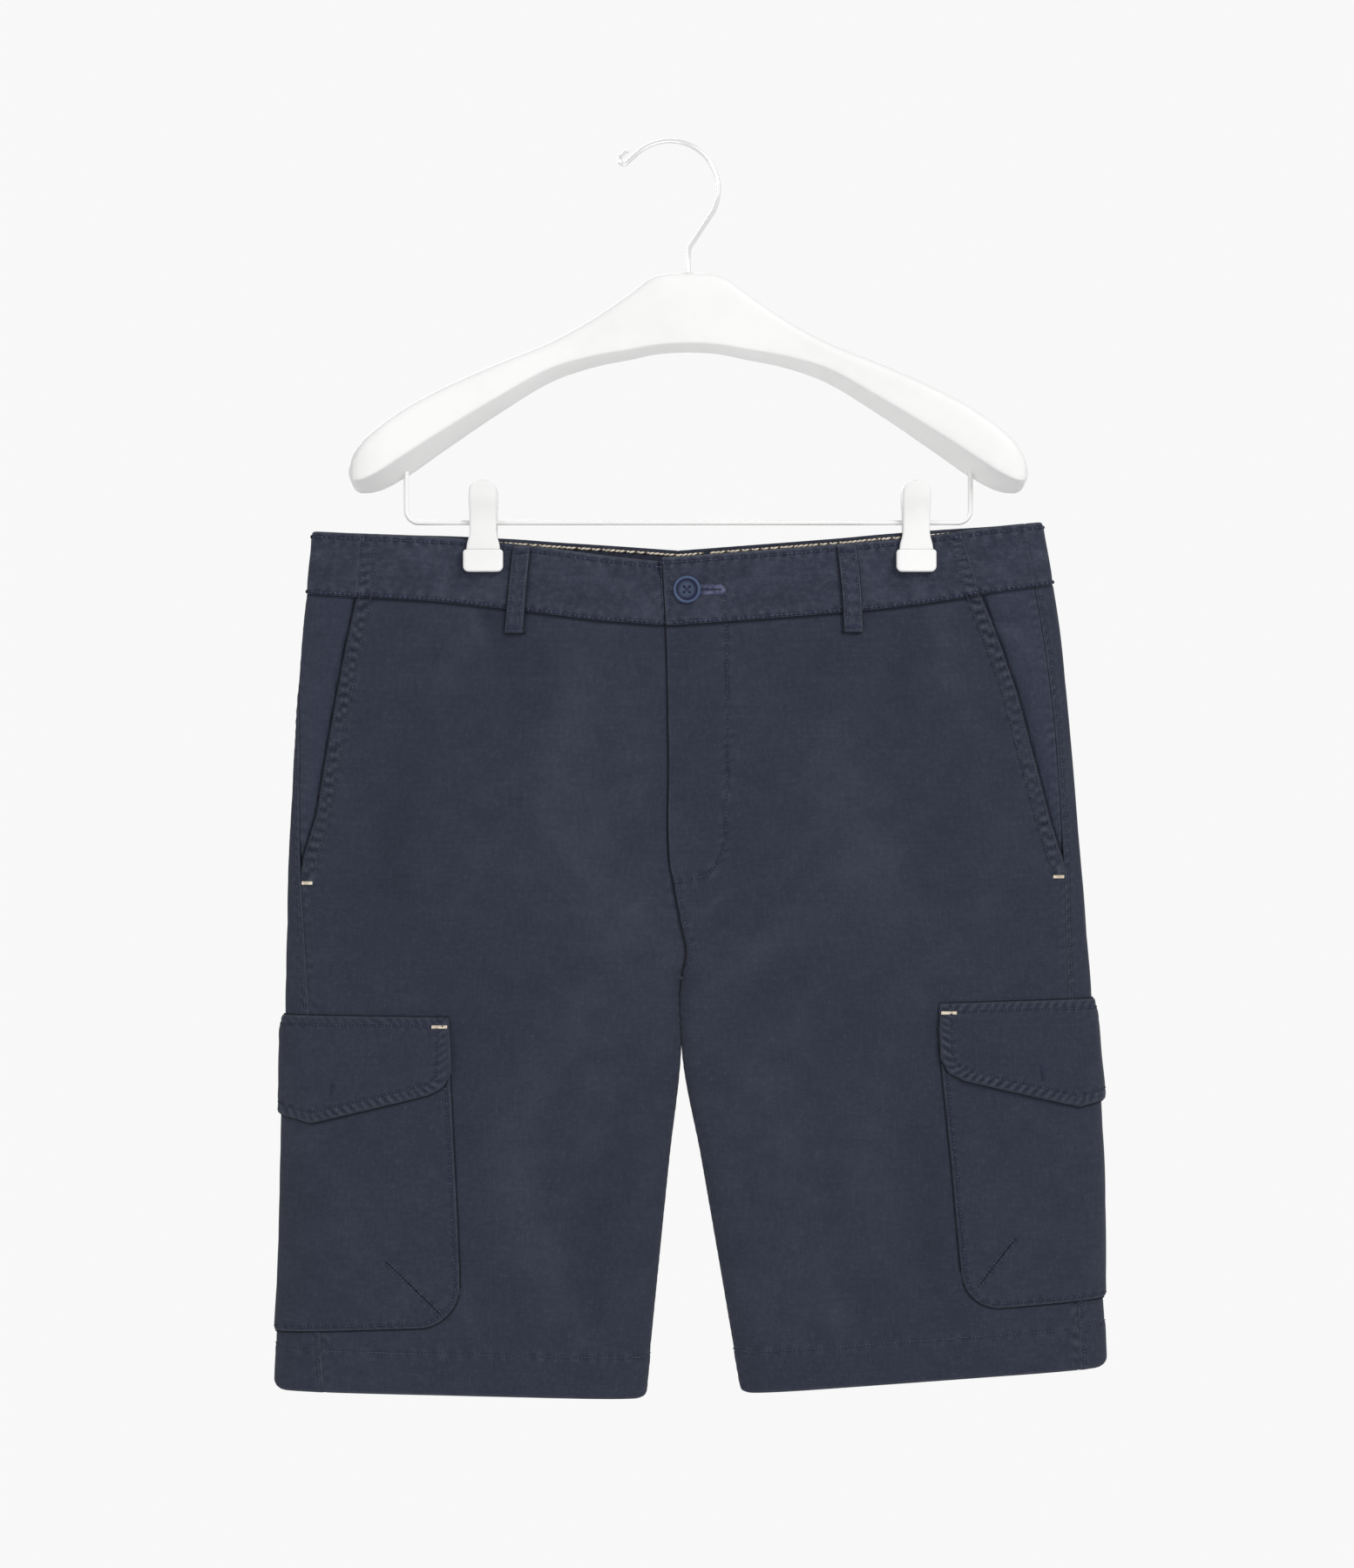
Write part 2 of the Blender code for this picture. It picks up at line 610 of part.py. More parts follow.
# ---------------------------------------------------------------- belt loops and button
# name, half, share of the way round from the outer fold to the centre, and the lean of its foot
BELT_LOOPS = (
    ("belt_loop_front_right", RIGHT, 0.598, 4.7),
    ("belt_loop_front_left", LEFT, 0.572, 3.8),
    ("belt_loop_back_right", RIGHT, -0.6, 0.0),
    ("belt_loop_back_left", LEFT, -0.56, 0.0),
    ("belt_loop_back_centre", LEFT, -1.0, 0.0),
)


def build_belt_loops(navy):
    for name, side, share, lean in BELT_LOOPS:
        form = FORM[side]
        front, back = form.ends(-270.0)
        centre = share * front if share > 0 else -share * back
        top = waist_top(side, centre) - 1.0
        down = even(7)[:, None]
        q = centre - down * lean + np.linspace(-0.5, 0.5, 3)[None, :] * LOOP_WIDTH
        z = np.broadcast_to(top - down * LOOP_LENGTH, q.shape)
        proud = BAND_PROUD + LAID_GAP + LOOP_WALL + 1.2 * np.sin(math.pi * down) ** 0.7
        panel(name, side, q, z, np.broadcast_to(proud, q.shape), LOOP_WALL, navy)


def build_button(finish):
    """A four-hole button with a raised rim, turned from a profile and drilled."""
    radius, rim, thick = BUTTON_DIAMETER / 2, BUTTON_RIM, BUTTON_THICKNESS
    profile = (
        (0.0, 1.5), (radius - rim - 1.6, 1.6), (radius - rim, thick - 0.3), (radius - rim / 2, thick),
        (radius - 0.4, thick - 0.5), (radius, thick / 2), (radius - 0.7, 0.35), (radius - 2.2, 0.0),
        (0.0, 0.0),
    )
    bm = turned([(x, 0, z) for x, z in profile], (0, 0, 1), 24)
    button = add_object("button", bm, finish, 35)
    cutter_mesh = bmesh.new()
    for step in range(4):
        angle = math.pi / 4 + step * math.pi / 2
        x, y = BUTTON_HOLE_OFFSET * math.cos(angle), BUTTON_HOLE_OFFSET * math.sin(angle)
        drill(cutter_mesh, (x, y, -thick), (x, y, 2 * thick), BUTTON_HOLE_RADIUS, 8)
    cutter = add_object("button_hole_cutter", cutter_mesh, finish)
    cut = button.modifiers.new("holes", "BOOLEAN")
    cut.operation, cut.object = "DIFFERENCE", cutter
    seat = FORM[LEFT].place(FORM[LEFT].ends(BUTTON_HEIGHT)[0], BUTTON_HEIGHT)
    place = Vector((BUTTON_X, float(seat[1]) - BAND_PROUD - SEAM_GAP, BUTTON_HEIGHT)) * MM
    seated = Matrix.Translation(place) @ Matrix.Rotation(math.radians(90), 4, "X")
    for made in (button, cutter):
        made.matrix_world = seated
    cutter.hide_render = True
    cutter.display_type = "WIRE"


# ---------------------------------------------------------------- hanger
# Half of the body, from the neck out: distance from the middle, heights of the top, of the
# front's bottom edge and of the back's, and the depth from front to back.
ARM = (
    (0.0, -82.0, -126.8, -131.6, 15.0),
    (15.0, -82.4, -127.4, -132.3, 15.0),
    (23.0, -84.5, -128.4, -133.4, 15.0),
    (34.0, -92.7, -130.4, -135.8, 15.2),
    (61.0, -111.2, -135.4, -141.4, 16.5),
    (84.0, -124.0, -142.0, -149.2, 18.5),
    (121.0, -139.6, -162.5, -171.2, 22.5),
    (155.0, -155.2, -183.6, -194.4, 26.5),
    (180.0, -169.2, -200.2, -211.6, 30.0),
    (196.0, -181.2, -210.6, -219.6, 31.0),
    (206.0, -192.4, -214.6, -221.4, 26.0),
    (211.5, -203.4, -213.6, -217.6, 15.0),
)
ARM_FORWARD = 10.0  # how far the ends of the arms curve to the front


def arm_section(out, top, front_bottom, back_bottom, depth):
    """A ring of points round the body at one station, from the top over the front."""
    forward = -ARM_FORWARD * (out / ARM[-1][0]) ** 2
    front, back = forward - depth / 2, forward + depth / 2
    height = top - front_bottom
    crown = min(4.0, height * 0.3)
    lower = min(1.5, height * 0.1)
    return [
        (forward - depth * 0.18, top), (front + depth * 0.12, top - crown * 0.3),
        (front, top - crown), (front, front_bottom + lower),
        (front + depth * 0.06, front_bottom - lower * 0.2), (back - depth * 0.1, back_bottom),
        (back, back_bottom + lower), (back, top - crown),
        (back - depth * 0.12, top - crown * 0.3), (forward + depth * 0.18, top),
    ]


def build_hanger_body(paint):
    stations = [(-row[0], row) for row in ARM[:0:-1]] + [(row[0], row) for row in ARM]
    bm = bmesh.new()
    rings = []
    for x, row in stations:
        rings.append([bm.verts.new(Vector((HANGER_X + x, y, z)) * MM) for y, z in arm_section(*row)])
    for ring, following in zip(rings, rings[1:]):
        for i in range(len(ring)):
            j = (i + 1) % len(ring)
            bm.faces.new((ring[i], ring[j], following[j], following[i]))
    for ring in (rings[0], rings[-1]):
        bm.faces.new(ring)
    body = add_object("hanger_body", bm, paint, 50)
    sockets = bmesh.new()
    neck = ARM[0][1]
    wire_socket, bar_socket = WIRE_RADIUS + SOCKET_CLEARANCE, BAR_RADIUS + SOCKET_CLEARANCE
    drill(sockets, (HANGER_X, 0, neck - HOOK_SOCKET), (HANGER_X, 0, neck + HOOK_SOCKET), wire_socket, 16)
    for sign in (-1, 1):
        x = HANGER_X + sign * BAR_REACH
        drill(sockets, (x, 0, BAR_HEIGHT), (x, 0, BAR_TOP + SOCKET_CLEARANCE), bar_socket, 16)
    cutter = add_object("socket_cutter", sockets, paint)
    cutter.hide_render = True
    cutter.display_type = "WIRE"
    cut = body.modifiers.new("sockets", "BOOLEAN")
    cut.operation, cut.object = "DIFFERENCE", cutter


def wire(name, points, radius, finish, sides):
    """A round wire with flat ends along a route of points."""
    curve = bpy.data.curves.new(name, "CURVE")
    curve.dimensions = "3D"
    curve.bevel_depth = radius * MM
    curve.bevel_resolution = sides // 2 - 2
    curve.use_fill_caps = True
    spline = curve.splines.new("POLY")
    spline.points.add(len(points) - 1)
    for point, spot in zip(spline.points, points):
        point.co = (*(Vector(spot) * MM), 1)
    curve.materials.append(finish)
    made = bpy.data.objects.new(name, curve)
    bpy.context.scene.collection.objects.link(made)
    return made


def arc(centre, radius, start, end, steps):
    """Points of an arc in the XZ plane, with angles in degrees from +X towards +Z."""
    angles = np.radians(np.linspace(start, end, steps))
    return [(centre[0] + radius * math.cos(a), 0.0, centre[1] + radius * math.sin(a)) for a in angles]


def hook_route():
    """Up from the neck, out to the right, round the crown and back in a small turned end."""
    neck = ARM[0][1]
    route = [(HANGER_X, 0.0, z) for z in (neck - HOOK_SUNK, neck - 2, neck + 6, HOOK_STEM_TOP - 5)]
    route += [(HANGER_X + 0.5, 0.0, HOOK_STEM_TOP - 1.5), (HANGER_X + 2.4, 0.0, HOOK_STEM_TOP + 2)]
    crown = (HOOK_CENTRE_X, -HOOK_RADIUS)
    route += arc(crown, HOOK_RADIUS + WIRE_RADIUS, HOOK_FIRST_ANGLE, HOOK_LAST_ANGLE, 26)
    bend = math.radians(HOOK_LAST_ANGLE + 90)
    ahead = Vector((math.cos(bend), 0.0, math.sin(bend)))
    aside = Vector((ahead.z, 0.0, -ahead.x))
    start = Vector(route[-1])
    turn = HOOK_TIP_RADIUS
    route += [tuple(start + ahead * HOOK_TIP_LENGTH * share) for share in (0.5, 1)]
    centre = start + ahead * HOOK_TIP_LENGTH + aside * turn
    for angle in np.radians(np.linspace(30, 180, 6)):
        route.append(tuple(centre - aside * turn * math.cos(angle) + ahead * turn * math.sin(angle)))
    route += [tuple(centre + aside * turn - ahead * back) for back in (2.5, 5)]
    return route


def bar_route():
    """Down from one arm, along under the hanger and up into the other."""
    route = []
    for sign in (-1, 1):
        side = [(HANGER_X + sign * BAR_REACH, 0.0, z) for z in (BAR_TOP, -205.0, -220.0)]
        for angle in np.radians(np.linspace(0, 90, 6)):
            x = HANGER_X + sign * (BAR_REACH - BAR_BEND * (1 - math.cos(angle)))
            side.append((x, 0.0, BAR_HEIGHT + BAR_BEND * (1 - math.sin(angle))))
        route += side if sign < 0 else side[::-1]
    return route


def build_clip(side, plastic):
    """Two sprung jaws on a barrel that turns on the bar, each with a rubber pad."""
    x = CLIP_X[side]
    grip = PINCHED_HALF_DEPTH + BAND_PROUD + LAID_GAP
    # height, how far the jaw's inside stands from the middle, and half the width
    jaw_rows = (
        (CLIP_TOP, 11.5, 3.0), (CLIP_TOP - 1.6, 11.1, 6.2), (CLIP_TOP - 4.5, 10.4, 8.2),
        (CLIP_TOP - 8.8, 9.4, 8.8), (BAR_HEIGHT + 6.0, 5.6, 8.6), (BAR_HEIGHT, 4.3, 8.6),
        (BAR_HEIGHT - 6.0, 4.1, 8.6), (-248.5, 4.0, 9.2), (CLIP_PAD_TOP + SEAM_GAP, 3.9, 11.2),
    )
    for face, sign in (("front", -1), ("back", 1)):
        bm = bmesh.new()
        rings = []
        for z, inside, half in jaw_rows:
            near, far = sign * inside, sign * (inside + CLIP_WALL)
            soft = sign * (inside + CLIP_WALL * 0.55)
            flat = half - 1.2
            ring = [(-half, near), (-half, soft), (-flat, far), (flat, far), (half, soft), (half, near)]
            rings.append([bm.verts.new(((x + dx) * MM, y * MM, z * MM)) for dx, y in ring])
        for ring, following in zip(rings, rings[1:]):
            for i in range(len(ring)):
                j = (i + 1) % len(ring)
                bm.faces.new((ring[i], ring[j], following[j], following[i]))
        for ring in (rings[0], rings[-1]):
            bm.faces.new(ring)
        add_object(f"clip_{side}_{face}_jaw", bm, plastic, 40)

        bm = bmesh.new()
        size = Vector((CLIP_PAD_WIDTH, CLIP_PAD_THICKNESS, CLIP_PAD_TOP - CLIP_BOTTOM)) * MM
        spot = Vector((x, sign * (grip + CLIP_PAD_THICKNESS / 2), (CLIP_PAD_TOP + CLIP_BOTTOM) / 2)) * MM
        bmesh.ops.create_cube(bm, size=1, matrix=Matrix.LocRotScale(spot, None, size))
        bmesh.ops.bevel(
            bm, geom=list(bm.edges), offset=CLIP_PAD_ROUNDING * MM, segments=2, profile=0.5, affect="EDGES"
        )
        add_object(f"clip_{side}_{face}_pad", bm, plastic, 40)

    outer, inner, half = BARREL_RADIUS, BAR_RADIUS + SOCKET_CLEARANCE, BARREL_LENGTH / 2
    profile = ((-half, 0, inner), (-half, 0, outer), (half, 0, outer), (half, 0, inner), (-half, 0, inner))
    bm = turned(profile, (1, 0, 0), 16)
    barrel = add_object(f"clip_{side}_barrel", bm, plastic, 40)
    barrel.location = Vector((x, 0, BAR_HEIGHT)) * MM


def main():
    for old in list(bpy.data.objects):
        bpy.data.objects.remove(old)
    navy = material("navy_twill", NAVY, 0.9)
    button_finish = material("button_blue", BUTTON_BLUE, 0.25)
    paint = material("white_lacquer", WHITE, 0.35)
    coating = material("bar_coating", WHITE, 0.4)
    plastic = material("clip_plastic", WHITE, 0.3)
    steel = material("hook_steel", BRIGHT_STEEL, 0.15, 1.0)
    build_panels(navy)
    build_facings(navy)
    build_waistband(navy)
    build_underlap(navy)
    build_cargo_pockets(navy)
    build_belt_loops(navy)
    build_button(button_finish)
    build_hanger_body(paint)
    wire("hanger_hook", hook_route(), WIRE_RADIUS, steel, 8)
    wire("trouser_bar", bar_route(), BAR_RADIUS, coating, 8)
    for side in HALVES:
        build_clip(side, plastic)


main()
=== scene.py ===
import math

import bmesh
import bpy
import numpy as np
from mathutils import Matrix, Vector


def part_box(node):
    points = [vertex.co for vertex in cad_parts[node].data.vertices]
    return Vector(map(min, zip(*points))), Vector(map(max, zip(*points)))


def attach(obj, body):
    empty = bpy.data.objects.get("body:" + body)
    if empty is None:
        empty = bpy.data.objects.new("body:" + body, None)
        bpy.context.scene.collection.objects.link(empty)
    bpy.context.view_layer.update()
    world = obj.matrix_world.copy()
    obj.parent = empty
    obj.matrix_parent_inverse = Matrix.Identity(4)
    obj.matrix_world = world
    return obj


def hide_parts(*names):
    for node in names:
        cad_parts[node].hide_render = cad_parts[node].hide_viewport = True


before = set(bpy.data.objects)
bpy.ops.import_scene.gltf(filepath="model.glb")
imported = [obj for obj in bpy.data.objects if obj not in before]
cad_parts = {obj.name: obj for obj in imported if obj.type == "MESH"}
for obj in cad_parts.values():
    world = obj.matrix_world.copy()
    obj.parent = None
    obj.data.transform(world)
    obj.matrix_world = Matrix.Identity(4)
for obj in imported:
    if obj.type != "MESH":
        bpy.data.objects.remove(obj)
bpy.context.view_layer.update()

# Cloth sizes are in millimetres here and become metres when a mesh is written.
# right and left are the wearer's, so right lies at -X. The front faces -Y.
mm = 0.001
right, left = "right", "left"
halves = (right, left)
outward = {right: -1, left: 1}


# small tools
def linked(name, data):
    made = bpy.data.objects.new(name, data)
    bpy.context.scene.collection.objects.link(made)
    return made


def closeMesh(mesh, merge=0.0):
    # joins points closer than merge, and turns every face outward
    bm = bmesh.new()
    bm.from_mesh(mesh)
    if merge:
        bmesh.ops.remove_doubles(bm, verts=bm.verts, dist=merge)
    bmesh.ops.recalc_face_normals(bm, faces=bm.faces)
    bm.to_mesh(mesh)
    bm.free()
    mesh.shade_smooth()


def smooth(share):
    share = np.clip(share, 0.0, 1.0)
    return share * share * (3 - 2 * share)


def bump(distance, width):
    return np.exp(-((distance / width) ** 2))


def valueNoise(u, v, seed):
    # soft random hills between -1 and 1, one cell wide
    u, v = np.broadcast_arrays(np.asarray(u, float), np.asarray(v, float))
    lattice = np.random.default_rng(seed).uniform(-1, 1, (64, 64))
    i, j = np.floor(u).astype(int), np.floor(v).astype(int)
    a, b = smooth(u - i), smooth(v - j)
    low = lattice[i % 64, j % 64] * (1 - a) + lattice[(i + 1) % 64, j % 64] * a
    high = lattice[i % 64, (j + 1) % 64] * (1 - a) + lattice[(i + 1) % 64, (j + 1) % 64] * a
    return low * (1 - b) + high * b


def curveThrough(at, stops, values):
    # one smooth line through the rows of a table
    stops, values = np.asarray(stops, float), np.asarray(values, float)
    slopes = np.gradient(values, stops)
    row = np.clip(np.searchsorted(stops, at) - 1, 0, len(stops) - 2)
    span = stops[row + 1] - stops[row]
    t = np.clip((at - stops[row]) / span, 0, 1)
    level = (1 + 2 * t) * (1 - t) ** 2 * values[row] + t * t * (3 - 2 * t) * values[row + 1]
    return level + t * (1 - t) ** 2 * span * slopes[row] + t * t * (t - 1) * span * slopes[row + 1]


def evenly(path, step):
    # the same line with points one step apart
    path = np.asarray(path, float)
    length = np.concatenate([[0], np.cumsum(np.linalg.norm(np.diff(path, axis=0), axis=1))])
    count = max(2, int(round(length[-1] / step)) + 1)
    at = np.linspace(0, length[-1], count)
    return np.stack([np.interp(at, length, path[:, k]) for k in range(path.shape[1])], axis=1)


def alongAndAway(q, z, path):
    # how far along a path the nearest point lies, and how far off it, above 0 on its left
    best = np.full(np.shape(q), 1e9)
    along, sign = np.zeros(np.shape(q)), np.ones(np.shape(q))
    travelled = 0.0
    for (q0, z0), (q1, z1) in zip(path, path[1:]):
        dq, dz = q1 - q0, z1 - z0
        span = math.hypot(dq, dz)
        t = np.clip(((q - q0) * dq + (z - z0) * dz) / max(span * span, 1e-9), 0, 1)
        away = np.hypot(q - q0 - t * dq, z - z0 - t * dz)
        nearer = away < best
        best = np.where(nearer, away, best)
        along = np.where(nearer, travelled + t * span, along)
        sign = np.where(nearer, np.sign(dq * (z - z0) - dz * (q - q0)), sign)
        travelled += span
    return along, best * sign


def insetPath(outline, distance):
    # a line that keeps one distance inside an open outline, with its corners rounded
    outline = evenly(outline, 1.0)
    heading = np.gradient(outline, axis=0)
    heading /= np.linalg.norm(heading, axis=1, keepdims=True)
    moved = outline + np.stack([-heading[:, 1], heading[:, 0]], axis=1) * distance
    _, away = alongAndAway(moved[:, 0], moved[:, 1], outline)
    return evenly(moved[np.abs(away) > distance * 0.97], 2.0)


# shader expressions
class Socket:
    # a value in a node tree, so that maths on it reads as maths
    def __init__(self, tree, link):
        self.tree, self.link = tree, link

    def math(self, operation, *others, clamp=False):
        node = self.tree.nodes.new("ShaderNodeMath")
        node.operation, node.use_clamp = operation, clamp
        for slot, value in enumerate((self, *others)):
            if isinstance(value, Socket):
                self.tree.links.new(value.link, node.inputs[slot])
            else:
                node.inputs[slot].default_value = value
        return Socket(self.tree, node.outputs[0])

    def flipped(self, operation, other):
        node = self.tree.nodes.new("ShaderNodeMath")
        node.operation = operation
        node.inputs[0].default_value = other
        self.tree.links.new(self.link, node.inputs[1])
        return Socket(self.tree, node.outputs[0])

    def __add__(self, other):
        return self.math("ADD", other)

    __radd__ = __add__

    def __mul__(self, other):
        return self.math("MULTIPLY", other)

    __rmul__ = __mul__

    def __sub__(self, other):
        return self.math("SUBTRACT", other)

    def __rsub__(self, other):
        return self.flipped("SUBTRACT", other)

    def __pow__(self, other):
        return self.math("POWER", other)

    def clamped(self):
        return self.math("ADD", 0.0, clamp=True)

    def ramp(self, low, high):
        # 0 at low, 1 at high, smooth between
        node = self.tree.nodes.new("ShaderNodeMapRange")
        node.interpolation_type = "SMOOTHSTEP"
        self.tree.links.new(self.link, node.inputs["Value"])
        node.inputs["From Min"].default_value = low
        node.inputs["From Max"].default_value = high
        return Socket(self.tree, node.outputs["Result"])


class Finish:
    # one material and the nodes that feed its shader
    def __init__(self, name):
        self.material = bpy.data.materials.new(name)
        self.material.use_nodes = True
        self.tree = self.material.node_tree
        self.shader = self.tree.nodes["Principled BSDF"]

    def node(self, kind, settings=None, inputs=None, output=0):
        made = self.tree.nodes.new(kind)
        for name, value in (settings or {}).items():
            setattr(made, name, value)
        for name, value in (inputs or {}).items():
            if isinstance(value, Socket):
                self.tree.links.new(value.link, made.inputs[name])
            elif value is not None:
                made.inputs[name].default_value = value
        return Socket(self.tree, made.outputs[output])

    def place(self, uv=None, scale=(1, 1, 1), turn=0.0):
        # coordinates in metres, stretched and turned about Z
        if uv:
            source = self.node("ShaderNodeUVMap", {"uv_map": uv})
        else:
            source = self.node("ShaderNodeTexCoord", output="Object")
        return self.node(
            "ShaderNodeMapping", None,
            {"Vector": source, "Scale": scale, "Rotation": (0, 0, math.radians(turn))},
        )

    def noise(self, vector, scale, detail=2.0, roughness=0.5):
        inputs = {"Vector": vector, "Scale": scale, "Detail": detail, "Roughness": roughness}
        return self.node("ShaderNodeTexNoise", None, inputs)

    def attribute(self, name):
        return self.node("ShaderNodeAttribute", {"attribute_name": name}, output="Fac")

    def mix(self, share, first, second, blend="MIX"):
        return self.node(
            "ShaderNodeMix", {"data_type": "RGBA", "blend_type": blend},
            {0: share, 6: first if isinstance(first, Socket) else (*first, 1),
             7: second if isinstance(second, Socket) else (*second, 1)}, output=2,
        )

    def relief(self, height, depth, strength):
        return self.node("ShaderNodeBump", None, {"Height": height, "Distance": depth, "Strength": strength})

    def feed(self, **values):
        for name, value in values.items():
            socket = self.shader.inputs[name.replace("_", " ")]
            if isinstance(value, Socket):
                self.tree.links.new(value.link, socket)
            elif isinstance(value, tuple):
                socket.default_value = (*value, 1)
            else:
                socket.default_value = value


# the form that the cloth hangs in
# Where the outer folds and the inner edges stand at each height, how far the back's centre
# seam stands from the front's, and half the distance from front to back.
sectionColumns = ("height", "outerRight", "innerRight", "innerLeft", "outerLeft", "backShift", "halfDepth")
sections = (
    (-800, -253.3, -19.5, 43.8, 272.9, 0.0, 13.0),
    (-745, -251.4, -14.0, 34.2, 271.3, 0.0, 12.8),
    (-725, -250.2, -12.0, 30.8, 269.8, 0.0, 12.6),
    (-640, -247.6, -3.4, 16.1, 266.5, 0.0, 12.0),
    (-571, -246.2, 4.0, 3.8, 263.5, 0.0, 11.2),
    (-526, -245.9, 4.0, 3.8, 262.2, 0.0, 10.4),
    (-512, -245.5, 7.2, 7.2, 261.0, -2.5, 10.2),
    (-490, -245.0, 3.6, 3.6, 259.2, 0.5, 10.0),
    (-465, -244.5, -0.8, -0.8, 257.2, 4.0, 10.2),
    (-380, -239.8, -2.8, -2.8, 250.0, 5.5, 10.0),
    (-310, -235.3, -4.4, -4.4, 243.2, 7.0, 9.6),
    (-265, -230.7, -6.7, -6.7, 236.2, 8.5, 9.2),
    (-230, -227.6, -7.9, -7.9, 230.0, 9.0, 9.0),
)
cloth = {
    "foldExponent": 6, "flyEnd": -465.0, "crotch": -526.0,
    "panelWall": 1.3, "bandWall": 2.1, "bandProud": 0.25, "bandHeight": 40.0,
    "pocketWall": 1.2, "flapWall": 1.7, "loopWall": 1.7,
    "hemHeight": 25.5, "waistLevel": -250.0, "hemLevel": -780.0,
    "pinchWidth": 36.0, "pinchHeight": 55.0, "pinchedDepth": 2.1,
}
# The waist's top edge and the waistband's height, at shares of the way from the fold to the centre.
waistFront = {
    right: ((0, -245.3), (0.15, -247.3), (0.3, -248.6), (0.43, -250.0), (0.55, -252.6), (0.7, -256.8),
            (0.82, -260.6), (1, -265.0)),
    left: ((0, -239.3), (0.14, -242.9), (0.23, -245.6), (0.3, -247.6), (0.46, -251.8), (0.78, -258.3), (1, -262.3)),
}
bandHeights = {
    right: ((0, 38.8), (0.3, 39.4), (0.55, 40.4), (0.82, 40.0), (1, 38.8)),
    left: ((0, 38.8), (0.2, 40.0), (0.4, 41.3), (1, 41.8)),
}
waistBack = -257.0
waistBackSag = {right: -1.5, left: 0.0}
hemOuter = {right: -785.0, left: -770.5}
hemInner = {right: -791.0, left: -788.0}
clipX = {side: sum(v[0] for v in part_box(f"clip_{side}_front_pad")) / 2 / mm for side in halves}
padTop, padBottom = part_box("clip_right_front_pad")[1][2] / mm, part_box("clip_right_front_pad")[0][2] / mm


def column(name, heights):
    index = sectionColumns.index(name)
    return curveThrough(heights, [row[0] for row in sections], [row[index] for row in sections])


